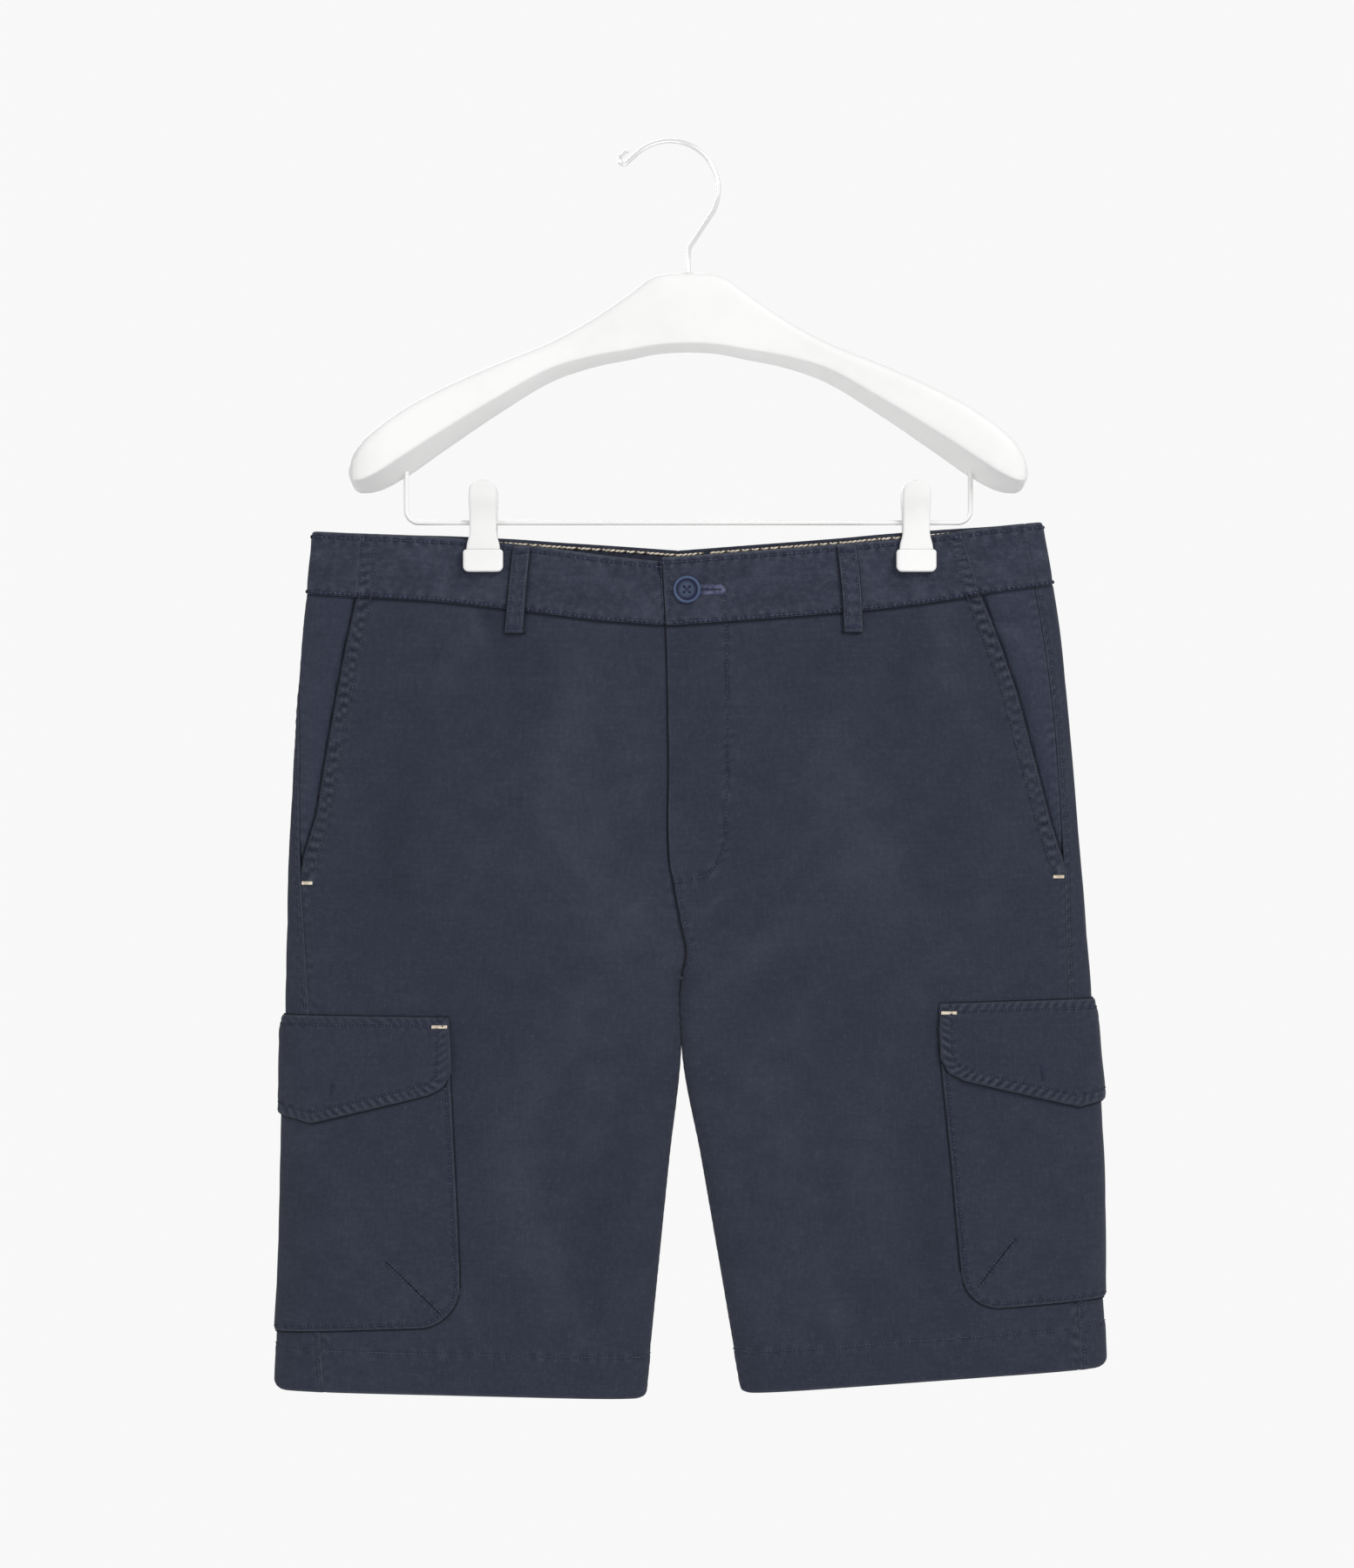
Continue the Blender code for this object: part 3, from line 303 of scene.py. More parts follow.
class Half:
    # One half of the cloth's outer skin. q is the distance round it from the outer fold,
    # above 0 over the front and below 0 over the back, and z is the height.
    step, samples = 2.0, 361

    def __init__(self, side):
        self.side = side
        self.heights = np.arange(-800.0, -229.0, self.step)
        name = side.capitalize()
        outer, inner = column("outer" + name, self.heights), column("inner" + name, self.heights)
        backInner = inner + column("backShift", self.heights)
        depth = column("halfDepth", self.heights)
        fall = np.clip((cloth["flyEnd"] - self.heights) / (cloth["flyEnd"] - cloth["crotch"]), 0, 1)
        table = zip(self.heights, outer, inner, backInner, depth, np.sqrt(1 - fall**2))
        rows = [self.section(*values) for values in table]
        self.outer = outer
        self.x, self.y = np.array([r[0] for r in rows]), np.array([r[1] for r in rows])
        self.frontEnd, self.backEnd = np.array([r[2] for r in rows]), np.array([r[3] for r in rows])

    def section(self, height, outer, inner, backInner, depth, openness):
        across = np.cos(np.linspace(0, math.pi, 900))  # 1 at the outer fold, -1 at the inner edge
        closing = np.sqrt(np.clip(1 - np.abs(across) ** cloth["foldExponent"], 0, 1))
        rise = depth * np.where(across > 0, closing, openness + (1 - openness) * closing)
        faces = []
        for end, sign in ((backInner, 1), (inner, -1)):
            x = (outer + end) / 2 + across * (outer - end) / 2
            y = sign * self.pinched(x, height, rise)
            length = np.concatenate([[0], np.cumsum(np.hypot(np.diff(x), np.diff(y)))])
            even = np.linspace(0, length[-1], self.samples)
            faces.append((np.interp(even, length, x), np.interp(even, length, y), length[-1]))
        (backX, backY, backLength), (frontX, frontY, frontLength) = faces
        x = np.concatenate([backX[::-1], frontX[1:]])
        y = np.concatenate([backY[::-1], frontY[1:]])
        return x, y, frontLength, -backLength

    @staticmethod
    def pinched(x, height, rise):
        for clip in clipX.values():
            below = max(0.0, padBottom - height)
            hold = np.exp(-(((x - clip) / cloth["pinchWidth"]) ** 4) - (below / cloth["pinchHeight"]) ** 2)
            rise = rise * (1 - hold) + np.minimum(rise, cloth["pinchedDepth"]) * hold
        return rise

    def ends(self, z):
        return np.interp(z, self.heights, self.frontEnd), np.interp(z, self.heights, self.backEnd)

    def place(self, q, z):
        # Past the inner edges it runs straight on above the crotch and round the leg below.
        q, z = np.broadcast_arrays(np.asarray(q, float), np.asarray(z, float))
        front, back = self.ends(z)
        past = np.maximum(q - front, 0) + np.maximum(back - q, 0)
        leg = z <= cloth["crotch"]
        q = np.where(leg & (q > front), back + past, np.where(leg & (q < back), front - past, q))
        past = np.where(leg, 0, past)
        share = np.clip(np.where(q > 0, q / front, -q / back), -1, 1)
        rowShare = np.clip((z - self.heights[0]) / self.step, 0, len(self.heights) - 1.001)
        columnShare = (share + 1) * (self.samples - 1)
        row, col = rowShare.astype(int), np.minimum(columnShare.astype(int), 2 * self.samples - 3)
        down, along = rowShare - row, columnShare - col
        spot = []
        for table in (self.x, self.y):
            low = table[row, col] * (1 - along) + table[row, col + 1] * along
            high = table[row + 1, col] * (1 - along) + table[row + 1, col + 1] * along
            spot.append(low * (1 - down) + high * down)
        return np.stack([spot[0] - outward[self.side] * past, spot[1], z], axis=-1)

    def normal(self, q, z):
        q, z = np.broadcast_arrays(np.asarray(q, float), np.asarray(z, float))
        front, back = self.ends(z)
        q = np.where(front - q < 0.6, front, np.where(q - back < 0.6, back, q))
        along = self.place(q + 0.8, z) - self.place(q - 0.8, z)
        up = self.place(q, z + 2) - self.place(q, z - 2)
        facing = -outward[self.side] * np.cross(along, up)
        return facing / np.linalg.norm(facing, axis=-1, keepdims=True)

    def follow(self, rows):
        # q at each table height of a line given as (height, distance seen inside the outer fold)
        rows = sorted(rows)
        seen = np.interp(self.heights, [r[0] for r in rows], [r[1] for r in rows])
        found = []
        for i, distance in enumerate(seen):
            inside = np.abs(self.x[i, self.samples - 1:] - self.outer[i])
            around = np.interp(distance, inside, np.linspace(0, self.frontEnd[i], self.samples))
            found.append(distance if distance <= 0 else around)
        return np.array(found)


form = {side: Half(side) for side in halves}
print("form ready")

# Seam lines over the front, as (height, distance seen inside the outer fold).
sideSeamRows = {
    right: ((-230, -10), (-327, -1.5), (-371, 2.2), (-459, 8.2), (-503, 12), (-548, 16), (-747, 28.5), (-800, 34)),
    left: ((-230, 11), (-285, 12.5), (-371, 9.8), (-459, 11.7), (-503, 14.5), (-548, 16), (-729, 17.5),
           (-800, 18.5)),
}
openingRows = {
    right: ((-230, 29.5), (-248, 31.5), (-288, 32.8), (-371, 22.5), (-424, 17), (-451, 10), (-462, 9)),
    left: ((-230, 50.5), (-248, 52), (-284, 47.8), (-349, 32), (-430, 17.8), (-455, 11.5), (-462, 11.7)),
}
openingEnd = {right: -466.0, left: -462.0}
sideSeamTable = {side: form[side].follow(sideSeamRows[side]) for side in halves}
openingTable = {side: form[side].follow(openingRows[side]) for side in halves}


def sideSeam(side, z):
    return np.interp(z, form[side].heights, sideSeamTable[side])


def bandOpening(side, z):
    return np.interp(z, form[side].heights, openingTable[side])


def opening(side, z):
    seam = sideSeam(side, z)
    return np.where(z < openingEnd[side], seam, np.maximum(bandOpening(side, z), seam))


def waistTop(side, q):
    front, back = form[side].ends(cloth["waistLevel"])
    q = np.asarray(q, float)
    ahead = curveThrough(np.clip(q / front, 0, 1), *zip(*waistFront[side]))
    corner, share = waistFront[side][0][1], q / back
    behind = corner + (waistBack - corner) * share - 4 * waistBackSag[side] * share * (1 - share)
    return np.where(q > 0, ahead, behind)


def waistSeam(side, q):
    share = np.clip(np.asarray(q, float) / form[side].ends(cloth["waistLevel"])[0], 0, 1)
    return waistTop(side, q) - curveThrough(share, *zip(*bandHeights[side]))


def hem(side, q):
    front, back = form[side].ends(cloth["hemLevel"])
    share = np.where(q > 0, q / front, q / back)
    lift = 3.0 * bump(q, 5.0) + 2.0 * bump(np.where(q > 0, front - q, q - back), 5.0)
    return hemOuter[side] + (hemInner[side] - hemOuter[side]) * share + lift


def frontEdge(side, z):
    return form[side].ends(z)[0]


def backEdge(side, z):
    return form[side].ends(z)[1]


# the main creases, placed one by one
# half, q, height, angle from level, half length, half width, rise
creaseColumns = ("half", "q", "z", "angle", "length", "width", "rise")
creases = (
    # pulls down from the clips
    (right, 118, -297, 62, 15, 4.0, -0.9), (right, 112, -306, 58, 16, 4.5, 0.6),
    (right, 133, -318, 84, 40, 11.0, -0.6), (right, 98, -330, 105, 46, 12.0, 0.5),
    (left, 92, -300, 112, 22, 6.0, -0.6), (left, 79, -322, 96, 44, 12.0, 0.5),
    (left, 106, -330, 80, 38, 11.0, -0.5),
    # small folds under the waistband at the hips
    (right, 14, -303, -28, 13, 3.2, 0.7), (right, 8, -312, -35, 12, 3.0, -0.7),
    (left, 40, -299, -12, 11, 2.4, -0.9), (left, 36, -309, -20, 12, 3.4, 0.6),
    (left, 24, -322, -52, 16, 4.0, 0.4),
    # short pulls at the end of the fly and over the crotch
    (right, 222, -482, -38, 14, 3.0, 0.5), (left, 236, -478, 34, 13, 2.8, 0.7),
    (left, 230, -490, 42, 16, 3.4, -0.6), (right, 206, -505, -30, 34, 8.0, 0.6),
    (left, 212, -508, 28, 36, 8.5, 0.6), (right, 180, -522, -20, 42, 10.0, -0.5),
    (left, 190, -528, 22, 40, 10.0, -0.5),
    # long soft falls down the fronts and thighs
    (right, 170, -400, 88, 95, 17.0, 0.55), (right, 70, -430, 94, 80, 15.0, -0.45),
    (left, 150, -410, 91, 90, 18.0, 0.5), (left, 88, -440, 86, 76, 14.0, -0.4),
    (right, 150, -650, 86, 110, 19.0, 0.7), (right, 200, -690, 92, 80, 14.0, -0.6),
    (left, 150, -640, 95, 105, 18.0, 0.6), (left, 112, -700, 98, 70, 13.0, -0.6),
    (right, 122, -735, 60, 34, 8.0, 0.5), (left, 170, -742, 118, 30, 8.0, 0.5),
    # the hidden back: falls from the clips, under the seat and behind the knees
    (right, -120, -330, 80, 60, 14.0, -0.8), (right, -85, -345, 98, 58, 15.0, 0.7),
    (left, -96, -335, 100, 56, 13.0, -0.8), (left, -130, -350, 84, 64, 16.0, 0.6),
    (right, -190, -500, 24, 40, 9.0, 0.9), (left, -196, -504, -26, 42, 9.5, 0.9),
    (right, -150, -520, 14, 52, 10.0, -0.7), (left, -140, -516, -18, 48, 11.0, -0.7),
    (right, -140, -660, 92, 100, 18.0, 0.8), (left, -150, -670, 88, 96, 17.0, 0.7),
    (right, -60, -420, 86, 90, 18.0, 0.6), (left, -64, -415, 93, 88, 17.0, 0.6),
)
sway = {"wide": 0.35, "wideCell": 70.0, "middle": 0.16, "middleCell": 22.0, "fine": 0.05, "fineCell": 7.0}


def bodyRelief(side, q, z):
    total = np.zeros(np.shape(q))
    for row in creases:
        one = dict(zip(creaseColumns, row))
        if one["half"] != side:
            continue
        turn = math.radians(one["angle"] if side == left else 180 - one["angle"])
        dq, dz = (q - one["q"]), z - one["z"]
        dq = dq * outward[side] * -1  # towards the viewer's right
        along = dq * math.cos(turn) + dz * math.sin(turn)
        away = -dq * math.sin(turn) + dz * math.cos(turn) + 0.004 * along**2
        total += one["rise"] * bump(away, one["width"]) * bump(along, one["length"])
    seed = 11 if side == right else 23
    for size, offset in (("wide", 0), ("middle", 1), ("fine", 2)):
        cell = sway[size + "Cell"]
        total += sway[size] * valueNoise(q / cell + 31, z / cell * 0.6 + 17, seed + offset)
    front, back = form[side].ends(z)
    inner = smooth(np.minimum(front - q, q - back) / 12)
    inner = np.where(z < cloth["crotch"] + 12, inner, 1.0)
    calm = (0.3 + 0.7 * smooth(np.abs(q) / 18)) * inner
    x = form[side].place(q, z)[..., 0]
    for clip in clipX.values():
        calm = calm * (1 - np.exp(-(((x - clip) / 19) ** 4) - ((z - padTop + 6) / 17) ** 4))
    return total * calm


# stitched rows
# how deep a row sinks and gathers the cloth, how far that reaches, how much its ridges are
# made pale by abrasion and painted highlight and its hollows darkened with painted shade, how dark the row's own
# line is painted as shade, and the thread that shows
rowColumns = ("sink", "gather", "wave", "reach", "slant", "ridgeWearAndShade", "line", "thread")
rowTable = {
    "top": (0.20, 0.26, 6.5, 2.6, 0.4, 0.42, 0.22, "soft"),
    "clear": (0.20, 0.24, 5.6, 2.4, 0.3, 0.36, 0.25, "fine"),
    "rope": (0.00, 1.25, 7.2, 4.3, 0.55, 1.00, 0.0, None),
    "ladder": (0.00, 0.90, 5.4, 3.8, 0.3, 1.00, 0.0, None),
    "waist": (0.34, 0.34, 7.5, 3.6, 0.2, 0.50, 0.40, "bold"),
    "fly": (0.22, 0.30, 9.0, 3.6, 0.2, 0.36, 0.30, "fine"),
    "hem": (0.20, 0.16, 9.0, 2.8, 0.1, 0.34, 0.15, "soft"),
    "flap": (0.00, 0.45, 5.2, 2.8, 0.6, 0.80, 0.0, None),
    "pucker": (0.00, 0.30, 5.5, 2.4, 0.7, 0.60, 0.0, None),
    "seam": (0.00, 0.24, 7.0, 2.8, 0.3, 0.45, 0.0, None),
    "dart": (0.95, 0.30, 7.0, 2.6, 0.2, 0.40, 0.55, None),
}
rowKinds = {name: dict(zip(rowColumns, row)) for name, row in rowTable.items()}
# metres: spacing, the stitch's length, width and height, and the dark patch laid between stitches as painted shade
# in the stitch hole
threadColumns = ("pitch", "length", "width", "height", "shadowLength", "shadowWidth")
threadTable = {
    "soft": (0.0023, 0.0012, 0.00054, 0.00050, 0.0020, 0.00110),
    "fine": (0.0023, 0.0012, 0.00058, 0.00054, 0.0025, 0.00150),
    "bold": (0.0030, 0.0014, 0.00084, 0.00070, 0.0031, 0.00260),
    "chain": (0.0031, 0.0039, 0.00165, 0.00110, 0.0042, 0.00260),
    "tack": (0.00042, 0.0024, 0.00052, 0.00060, 0.0001, 0.0001),
    "hole": (0.0005, 0.0030, 0.00046, 0.00056, 0.0006, 0.0016),
    "contactShadow": (0.0021, 0.0008, 0.00020, 0.00010, 0.0029, 0.00150),
}
threads = {name: dict(zip(threadColumns, row)) for name, row in threadTable.items()}
threadRows = {name: [] for name in ("soft", "fine", "bold", "chain", "creamTack", "navyTack", "hole", "contactShadow")}


def rowRelief(q, z, path, kind, seed):
    # how a row lifts the cloth, how pale it leaves the ridges (abrasion and painted highlight), and how dark it
    # paints the hollows and its own line as shade
    along, away = alongAndAway(q, z, path)
    beat = along / kind["wave"] + 0.9 * valueNoise(along / 21, 0.5, seed) + kind["slant"] * away / kind["wave"]
    strength = 0.6 + 0.4 * valueNoise(along / 15, 3.5, seed + 1)
    ridge = strength * np.tanh(1.7 * np.sin(2 * math.pi * beat)) * bump(away, kind["reach"])
    # the row's own line sinks into the cloth and is darkened there as painted shade
    line = bump(away, 0.8)
    pale = kind["ridgeWearAndShade"] * np.clip(ridge, 0, 1) * (1 - 0.6 * line)
    dark = kind["ridgeWearAndShade"] * 0.9 * np.clip(-ridge, 0, 1) + kind["line"] * line
    return kind["gather"] * ridge - kind["sink"] * line, pale, dark


class Cloth:
    # One cut piece: four edges over one half of the form, and how far its face stands out.
    def __init__(self, name, side, start, end, top, bottom, proud, wall):
        self.name, self.side, self.wall = name, side, wall
        self.start, self.end, self.top, self.bottom = start, end, top, bottom
        self.proud = proud
        self.rows, self.edgeRoll, self.shadows, self.shownRows = [], {}, {}, []
        # mottle is random tone, rim is how dark the rounded cut edge is painted as a contact shadow, and the last is
        # pale abrasion at the edges
        self.mottle, self.rim, self.edgeWear = 0.035, 0.95, 0.42

    def distances(self, q, z):
        return {
            "start": q - self.start(z), "end": self.end(z) - q,
            "top": self.top(q) - z, "bottom": z - self.bottom(q),
        }

    def grid(self, columns, rows):
        share, down = np.meshgrid(columns, rows)
        z = np.full(share.shape, -500.0)
        q = np.zeros(share.shape)
        for _ in range(8):
            top = self.top(q)
            z = top + (self.bottom(q) - top) * down
            q = self.start(z) + (self.end(z) - self.start(z)) * share
        return q, z

    def surface(self, q, z):
        # how far the face stands out, how pale it is (random mottle, abrasion and painted highlight on ridges) and
        # how dark it is (random mottle, and painted shade in hollows, along rows and at edges)
        body = bodyRelief(self.side, q, z)
        lift = self.proud(q, z) + body
        # random mottle, with the raised parts of the folds painted paler and their hollows darker: painted highlight
        # and painted shade
        cloud = valueNoise(q / 11 + 3, z / 9 + 5, 77) * 0.6 + valueNoise(q / 3.6, z / 3.1, 78) * 0.4
        tone = body * 0.2 + cloud * self.mottle * 2
        pale, dark = np.clip(tone, 0, 0.4), np.clip(-tone, 0, 0.4)
        for index, (path, kind) in enumerate(self.rows):
            rise, paleWearAndHighlight, shaded = rowRelief(q, z, path, rowKinds[kind], 50 + 7 * index + len(self.name))
            lift, pale, dark = lift + rise, np.maximum(pale, paleWearAndHighlight), np.maximum(dark, shaded)
        away = self.distances(q, z)
        for edge, (roll, reach) in self.edgeRoll.items():
            lift = lift - roll * bump(np.maximum(away[edge], 0), reach)
            paleWearAndHighlight = self.edgeWear * bump(away[edge], 0.75) * (0.6 + 0.4 * valueNoise(q / 5, z / 5, 5))
            pale = np.maximum(pale, paleWearAndHighlight)
        # painted shadow along the edges listed in shadows, fading away from each edge
        for edge, (amount, wide, reach) in self.shadows.items():
            wide = wide(z) if callable(wide) else wide
            near = bump(np.maximum(away[edge] - wide, 0), reach)
            pale, dark = pale * (1 - near), np.maximum(dark, amount * near)
        return lift, np.clip(pale, 0, 1), np.clip(dark, 0, 1)

    def sew(self, kind, path, thread=None, off=0.08, inside=False):
        # lays a row of thread on the face, or on the inside
        path = evenly(path, 1.2)
        q, z = path[:, 0], path[:, 1]
        normal = form[self.side].normal(q, z)
        lift = self.surface(q, z)[0]
        lift = lift - self.wall - off if inside else lift + off
        points = form[self.side].place(q, z) + normal * lift[:, None]
        name = thread or rowKinds[kind]["thread"]
        threadRows[name].append((points * mm, -normal if inside and name != "contactShadow" else normal))

    def shadowLine(self, path):
        # a dark strip laid at the foot of an edge: a painted contact shadow
        self.sew(None, path, thread="contactShadow", off=-0.45, inside=True)

    def addRow(self, kind, path, shown=True):
        self.rows.append((evenly(path, 5.0), kind))
        if shown and rowKinds[kind]["thread"]:
            self.shownRows.append((kind, path))


def graded(total, startBands, endBands, coarse):
    # shares of the way across, close together in bands of (width, step) at both edges
    marks = [0.0]
    for width, step in startBands:
        marks += list(marks[-1] + np.arange(1, round(width / step) + 1) * step)
    tail = [0.0]
    for width, step in endBands:
        tail += list(tail[-1] + np.arange(1, round(width / step) + 1) * step)
    middle = total - marks[-1] - tail[-1]
    count = max(2, int(round(middle / coarse)))
    marks += list(marks[-1] + np.arange(1, count) * middle / count)
    marks += [total - t for t in tail[::-1]]
    return np.array(marks) / total


clothPieces = {}


def weaveUv(mesh, q, z, turned):
    # weave coordinates in metres, along the cut's own grain
    layer = mesh.uv_layers.new(name="weave")
    u, v = (z, q) if turned else (q, z)
    index = np.zeros(len(mesh.loops), int)
    mesh.loops.foreach_get("vertex_index", index)
    uv = np.stack([u[index], v[index]], axis=1) * mm
    layer.data.foreach_set("uv", uv.ravel().astype(np.float32))


def wallMesh(name, outer, normal, wall, q, z, tones, turned, finish, rim):
    # a closed cloth wall with softly rounded edges, its rounded rim painted dark round the cut as a contact shadow
    rows, columns = q.shape
    wall = np.broadcast_to(wall, q.shape)
    inner = outer - normal * wall[..., None]
    around = [(0, j) for j in range(columns)] + [(i, columns - 1) for i in range(1, rows)]
    around += [(rows - 1, j) for j in range(columns - 2, -1, -1)] + [(i, 0) for i in range(rows - 2, 0, -1)]
    ri, rj = np.array([r[0] for r in around]), np.array([r[1] for r in around])
    back = np.clip(ri, 1, rows - 2), np.clip(rj, 1, columns - 2)
    away = outer[ri, rj] - outer[back]
    away /= np.maximum(np.linalg.norm(away, axis=1, keepdims=True), 1e-6)
    deep, wide = wall[ri, rj] * 0.55, wall[ri, rj] * 0.34
    between = outer[ri, rj] - normal[ri, rj] * deep[:, None] + away * wide[:, None]
    count = rows * columns
    spots = np.concatenate([outer.reshape(-1, 3), inner.reshape(-1, 3), between]) * mm
    number = np.arange(count).reshape(rows, columns)
    a, b, c, d = number[:-1, :-1], number[:-1, 1:], number[1:, 1:], number[1:, :-1]
    face = np.stack([a, b, c, d], axis=-1).reshape(-1, 4)
    edge = number[ri, rj]
    mid = 2 * count + np.arange(len(around))
    nextEdge, nextMid = np.roll(edge, -1), np.roll(mid, -1)
    quads = [face, face[:, ::-1] + count]
    quads.append(np.stack([edge, mid, nextMid, nextEdge], axis=1))
    quads.append(np.stack([mid, edge + count, nextEdge + count, nextMid], axis=1))
    quads = np.concatenate(quads)
    mesh = bpy.data.meshes.new(name)
    mesh.from_pydata(spots.tolist(), [], quads.tolist())
    flatQ = np.concatenate([q.ravel(), q.ravel(), q[ri, rj]])
    flatZ = np.concatenate([z.ravel(), z.ravel(), z[ri, rj]])
    weaveUv(mesh, flatQ, flatZ, turned)
    # the rounded rim gets no pale tone and is painted dark by rim: a painted contact shadow
    for tone, values, edge in zip(("wearAndHighlight", "shade"), tones, (0.0, rim)):
        stored = mesh.attributes.new(tone, "FLOAT", "POINT")
        values = np.concatenate([values.ravel(), values.ravel() * 0.4, np.full(len(around), edge)])
        stored.data.foreach_set("value", values.astype(np.float32))
    mesh.materials.append(finish)
    closeMesh(mesh)
    return linked(name, mesh)


def declare(made, node, q, z):
    # works out the cut's area on the flat, which is not used, then hangs the piece from the root body and hides the
    # part it stands for
    a = (q[1:, 1:] - q[:-1, :-1]) * (z[1:, :-1] - z[:-1, 1:])
    b = (q[1:, :-1] - q[:-1, 1:]) * (z[1:, 1:] - z[:-1, :-1])
    area = float(np.abs(a - b).sum()) / 2 * mm * mm
    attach(made, "root")
    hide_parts(node)


def build(piece, node, columns, rows, finish, rests, turned=False, wall=None):
    q, z = piece.grid(columns, rows)
    lift, pale, dark = piece.surface(q, z)
    normal = form[piece.side].normal(q, z)
    outer = form[piece.side].place(q, z) + normal * lift[..., None]
    wall = piece.wall if wall is None else wall(q, z)
    made = wallMesh(piece.name, outer, normal, wall, q, z, (pale, dark), turned, finish, piece.rim)
    declare(made, node, q, z)
    for kind, path in piece.shownRows:
        piece.sew(kind, path)
    clothPieces[piece.name] = piece
    print(piece.name, len(made.data.polygons), "faces")


def joined(name, node, parts, finish):
    # one wall that runs over both halves, from (piece, q, z) for each
    grids = [[] for _ in range(6)]
    for number, (piece, q, z) in enumerate(parts):
        lift, pale, dark = piece.surface(q, z)
        facing = form[piece.side].normal(q, z)
        spots = form[piece.side].place(q, z) + facing * lift[..., None]
        keep = slice(0, None) if number == 0 else slice(1, None)
        sign = 1 if number == 0 else -1
        along = sign * (q - q[:, -1:] if number == 0 else q - q[:, :1])
        for store, values in zip(grids, (spots, facing, pale, dark, along, z)):
            store.append(values[:, keep])
    outer, normal, pale, dark, qs, zs = (np.concatenate(v, axis=1) for v in grids)
    first = parts[0][0]
    made = wallMesh(name, outer, normal, first.wall, qs, zs, (pale, dark), False, finish, first.rim)
    declare(made, node, qs, zs)
    for piece, _, _ in parts:
        for kind, path in piece.shownRows:
            piece.sew(kind, path)
    print(name, len(made.data.polygons), "faces")


def constant(value):
    # the same value at every point given
    return lambda q, *_: np.full(np.shape(q), float(value))


def down(line, top, bottom, step=5.0):
    # a path down a seam line, given as q at a height
    heights = np.arange(top, bottom, -step)
    return np.stack([line(heights), heights], axis=1)


def alongEdge(edge, start, end, away=0.0, step=5.0):
    # a path along an edge given as the height at a q
    q = np.linspace(start, end, max(3, int(abs(end - start) / step)))
    return np.stack([q, edge(q) + away], axis=1)


def atX(side, x, z):
    # q of a point on the front at this x
    half = form[side]
    row = int((z - half.heights[0]) / half.step)
    across = np.abs(half.x[row, half.samples - 1:] - half.outer[row])
    return float(np.interp(abs(x - half.outer[row]), across, np.linspace(0, half.frontEnd[row], half.samples)))


# cloth and thread finishes
# the cloth's own dark and ground tones, a pale blue for random pale yarn, washed fading, abrasion and painted
# highlight, and a near-black navy for painted shade with a little random mottle
twill = {
    "deep": (0.0125, 0.0155, 0.0275), "ground": (0.0285, 0.0335, 0.0520), "paleWearAndHighlight": (0.088, 0.100, 0.133),
    "mottleAndShade": (0.0022, 0.0030, 0.0085), "ribs": 620.0, "ribDepth": 0.0003, "yarn": 980.0, "slub": 230.0,
    "roughness": 0.88,
}


def twillCloth(name, lift=1.0, washed=0.0):
    made = Finish(name)
    weave = made.place(uv="weave")
    ribs = made.node("ShaderNodeTexWave", {"bands_direction": "DIAGONAL"},
                     {"Vector": weave, "Scale": twill["ribs"], "Distortion": 0.9, "Detail": 1.0}, output=1)
    upright = made.place(uv="weave", scale=(twill["yarn"], twill["yarn"] * 0.07, 1))
    crosswise = made.place(uv="weave", scale=(twill["slub"] * 0.25, twill["slub"] * 2.4, 1))
    streaks = made.noise(upright, 1.0, 2.0, 0.6)
    picks = made.noise(crosswise, 1.0, 2.0, 0.5)
    heather = made.noise(weave, 1300.0, 2.0, 0.8)
    mottled = made.noise(weave, 330.0, 3.0, 0.65)
    cloudy = made.noise(weave, 55.0, 3.0, 0.6)
    grain = streaks * 0.16 + picks * 0.1 + heather * 0.46 + mottled * 0.28
    tone = (grain - 0.5) * 3.0 + (cloudy - 0.5) * 0.5 + 0.66
    body = made.mix(tone.clamped(), twill["deep"], twill["ground"])
    lighter = made.mix(grain.ramp(0.52, 0.68) * 0.26, body, twill["paleWearAndHighlight"])
    if washed:
        blotches = made.noise(made.place(uv="weave", scale=(1, 0.6, 1)), 300.0, 4.0, 0.65)
        lighter = made.mix(blotches.ramp(0.42, 0.75) * washed, lighter, twill["paleWearAndHighlight"])
    # pale tone: abrasion on ridges and edges, and painted highlight on the raised parts of folds and puckers,
    # blended toward the pale blue
    wearAndHighlightMask = (made.attribute("wearAndHighlight") * (0.2 + grain * 1.5)).clamped() * 0.8
    pale = made.mix(wearAndHighlightMask, lighter, twill["paleWearAndHighlight"])
    # painted shade: the shade attribute darkens the cloth toward the near-black navy in hollows, along sunk rows, at
    # edges and along contact lines, with a little random mottle
    colour = made.mix((made.attribute("shade") * (0.78 + grain * 0.5)).clamped(), pale, twill["mottleAndShade"])
    if lift != 1.0:
        colour = made.mix(1.0, colour, (lift, lift, lift * 1.03), "MULTIPLY")
    height = ribs * 0.6 + streaks * 0.5 + heather * 0.6
    made.feed(
        Base_Color=colour, Roughness=twill["roughness"] - wearAndHighlightMask * 0.08,
        Normal=made.relief(height, twill["ribDepth"], 0.9),
        Sheen_Weight=0.06, Sheen_Roughness=0.5, Specular_IOR_Level=0.15,
    )
    return made.material


def threadFinish(name, dark, light, roughness=0.6):
    made = Finish(name)
    ply = made.noise(made.place(), 1500.0, 2.0, 0.6)
    tone = made.noise(made.place(), 330.0, 1.0)
    made.feed(
        Base_Color=made.mix((ply * 0.3 + (tone - 0.5) * 2.2 + 0.35).clamped(), dark, light),
        Roughness=roughness + ply * 0.15, Normal=made.relief(ply, 0.0001, 0.6), Specular_IOR_Level=0.3,
    )
    return made.material


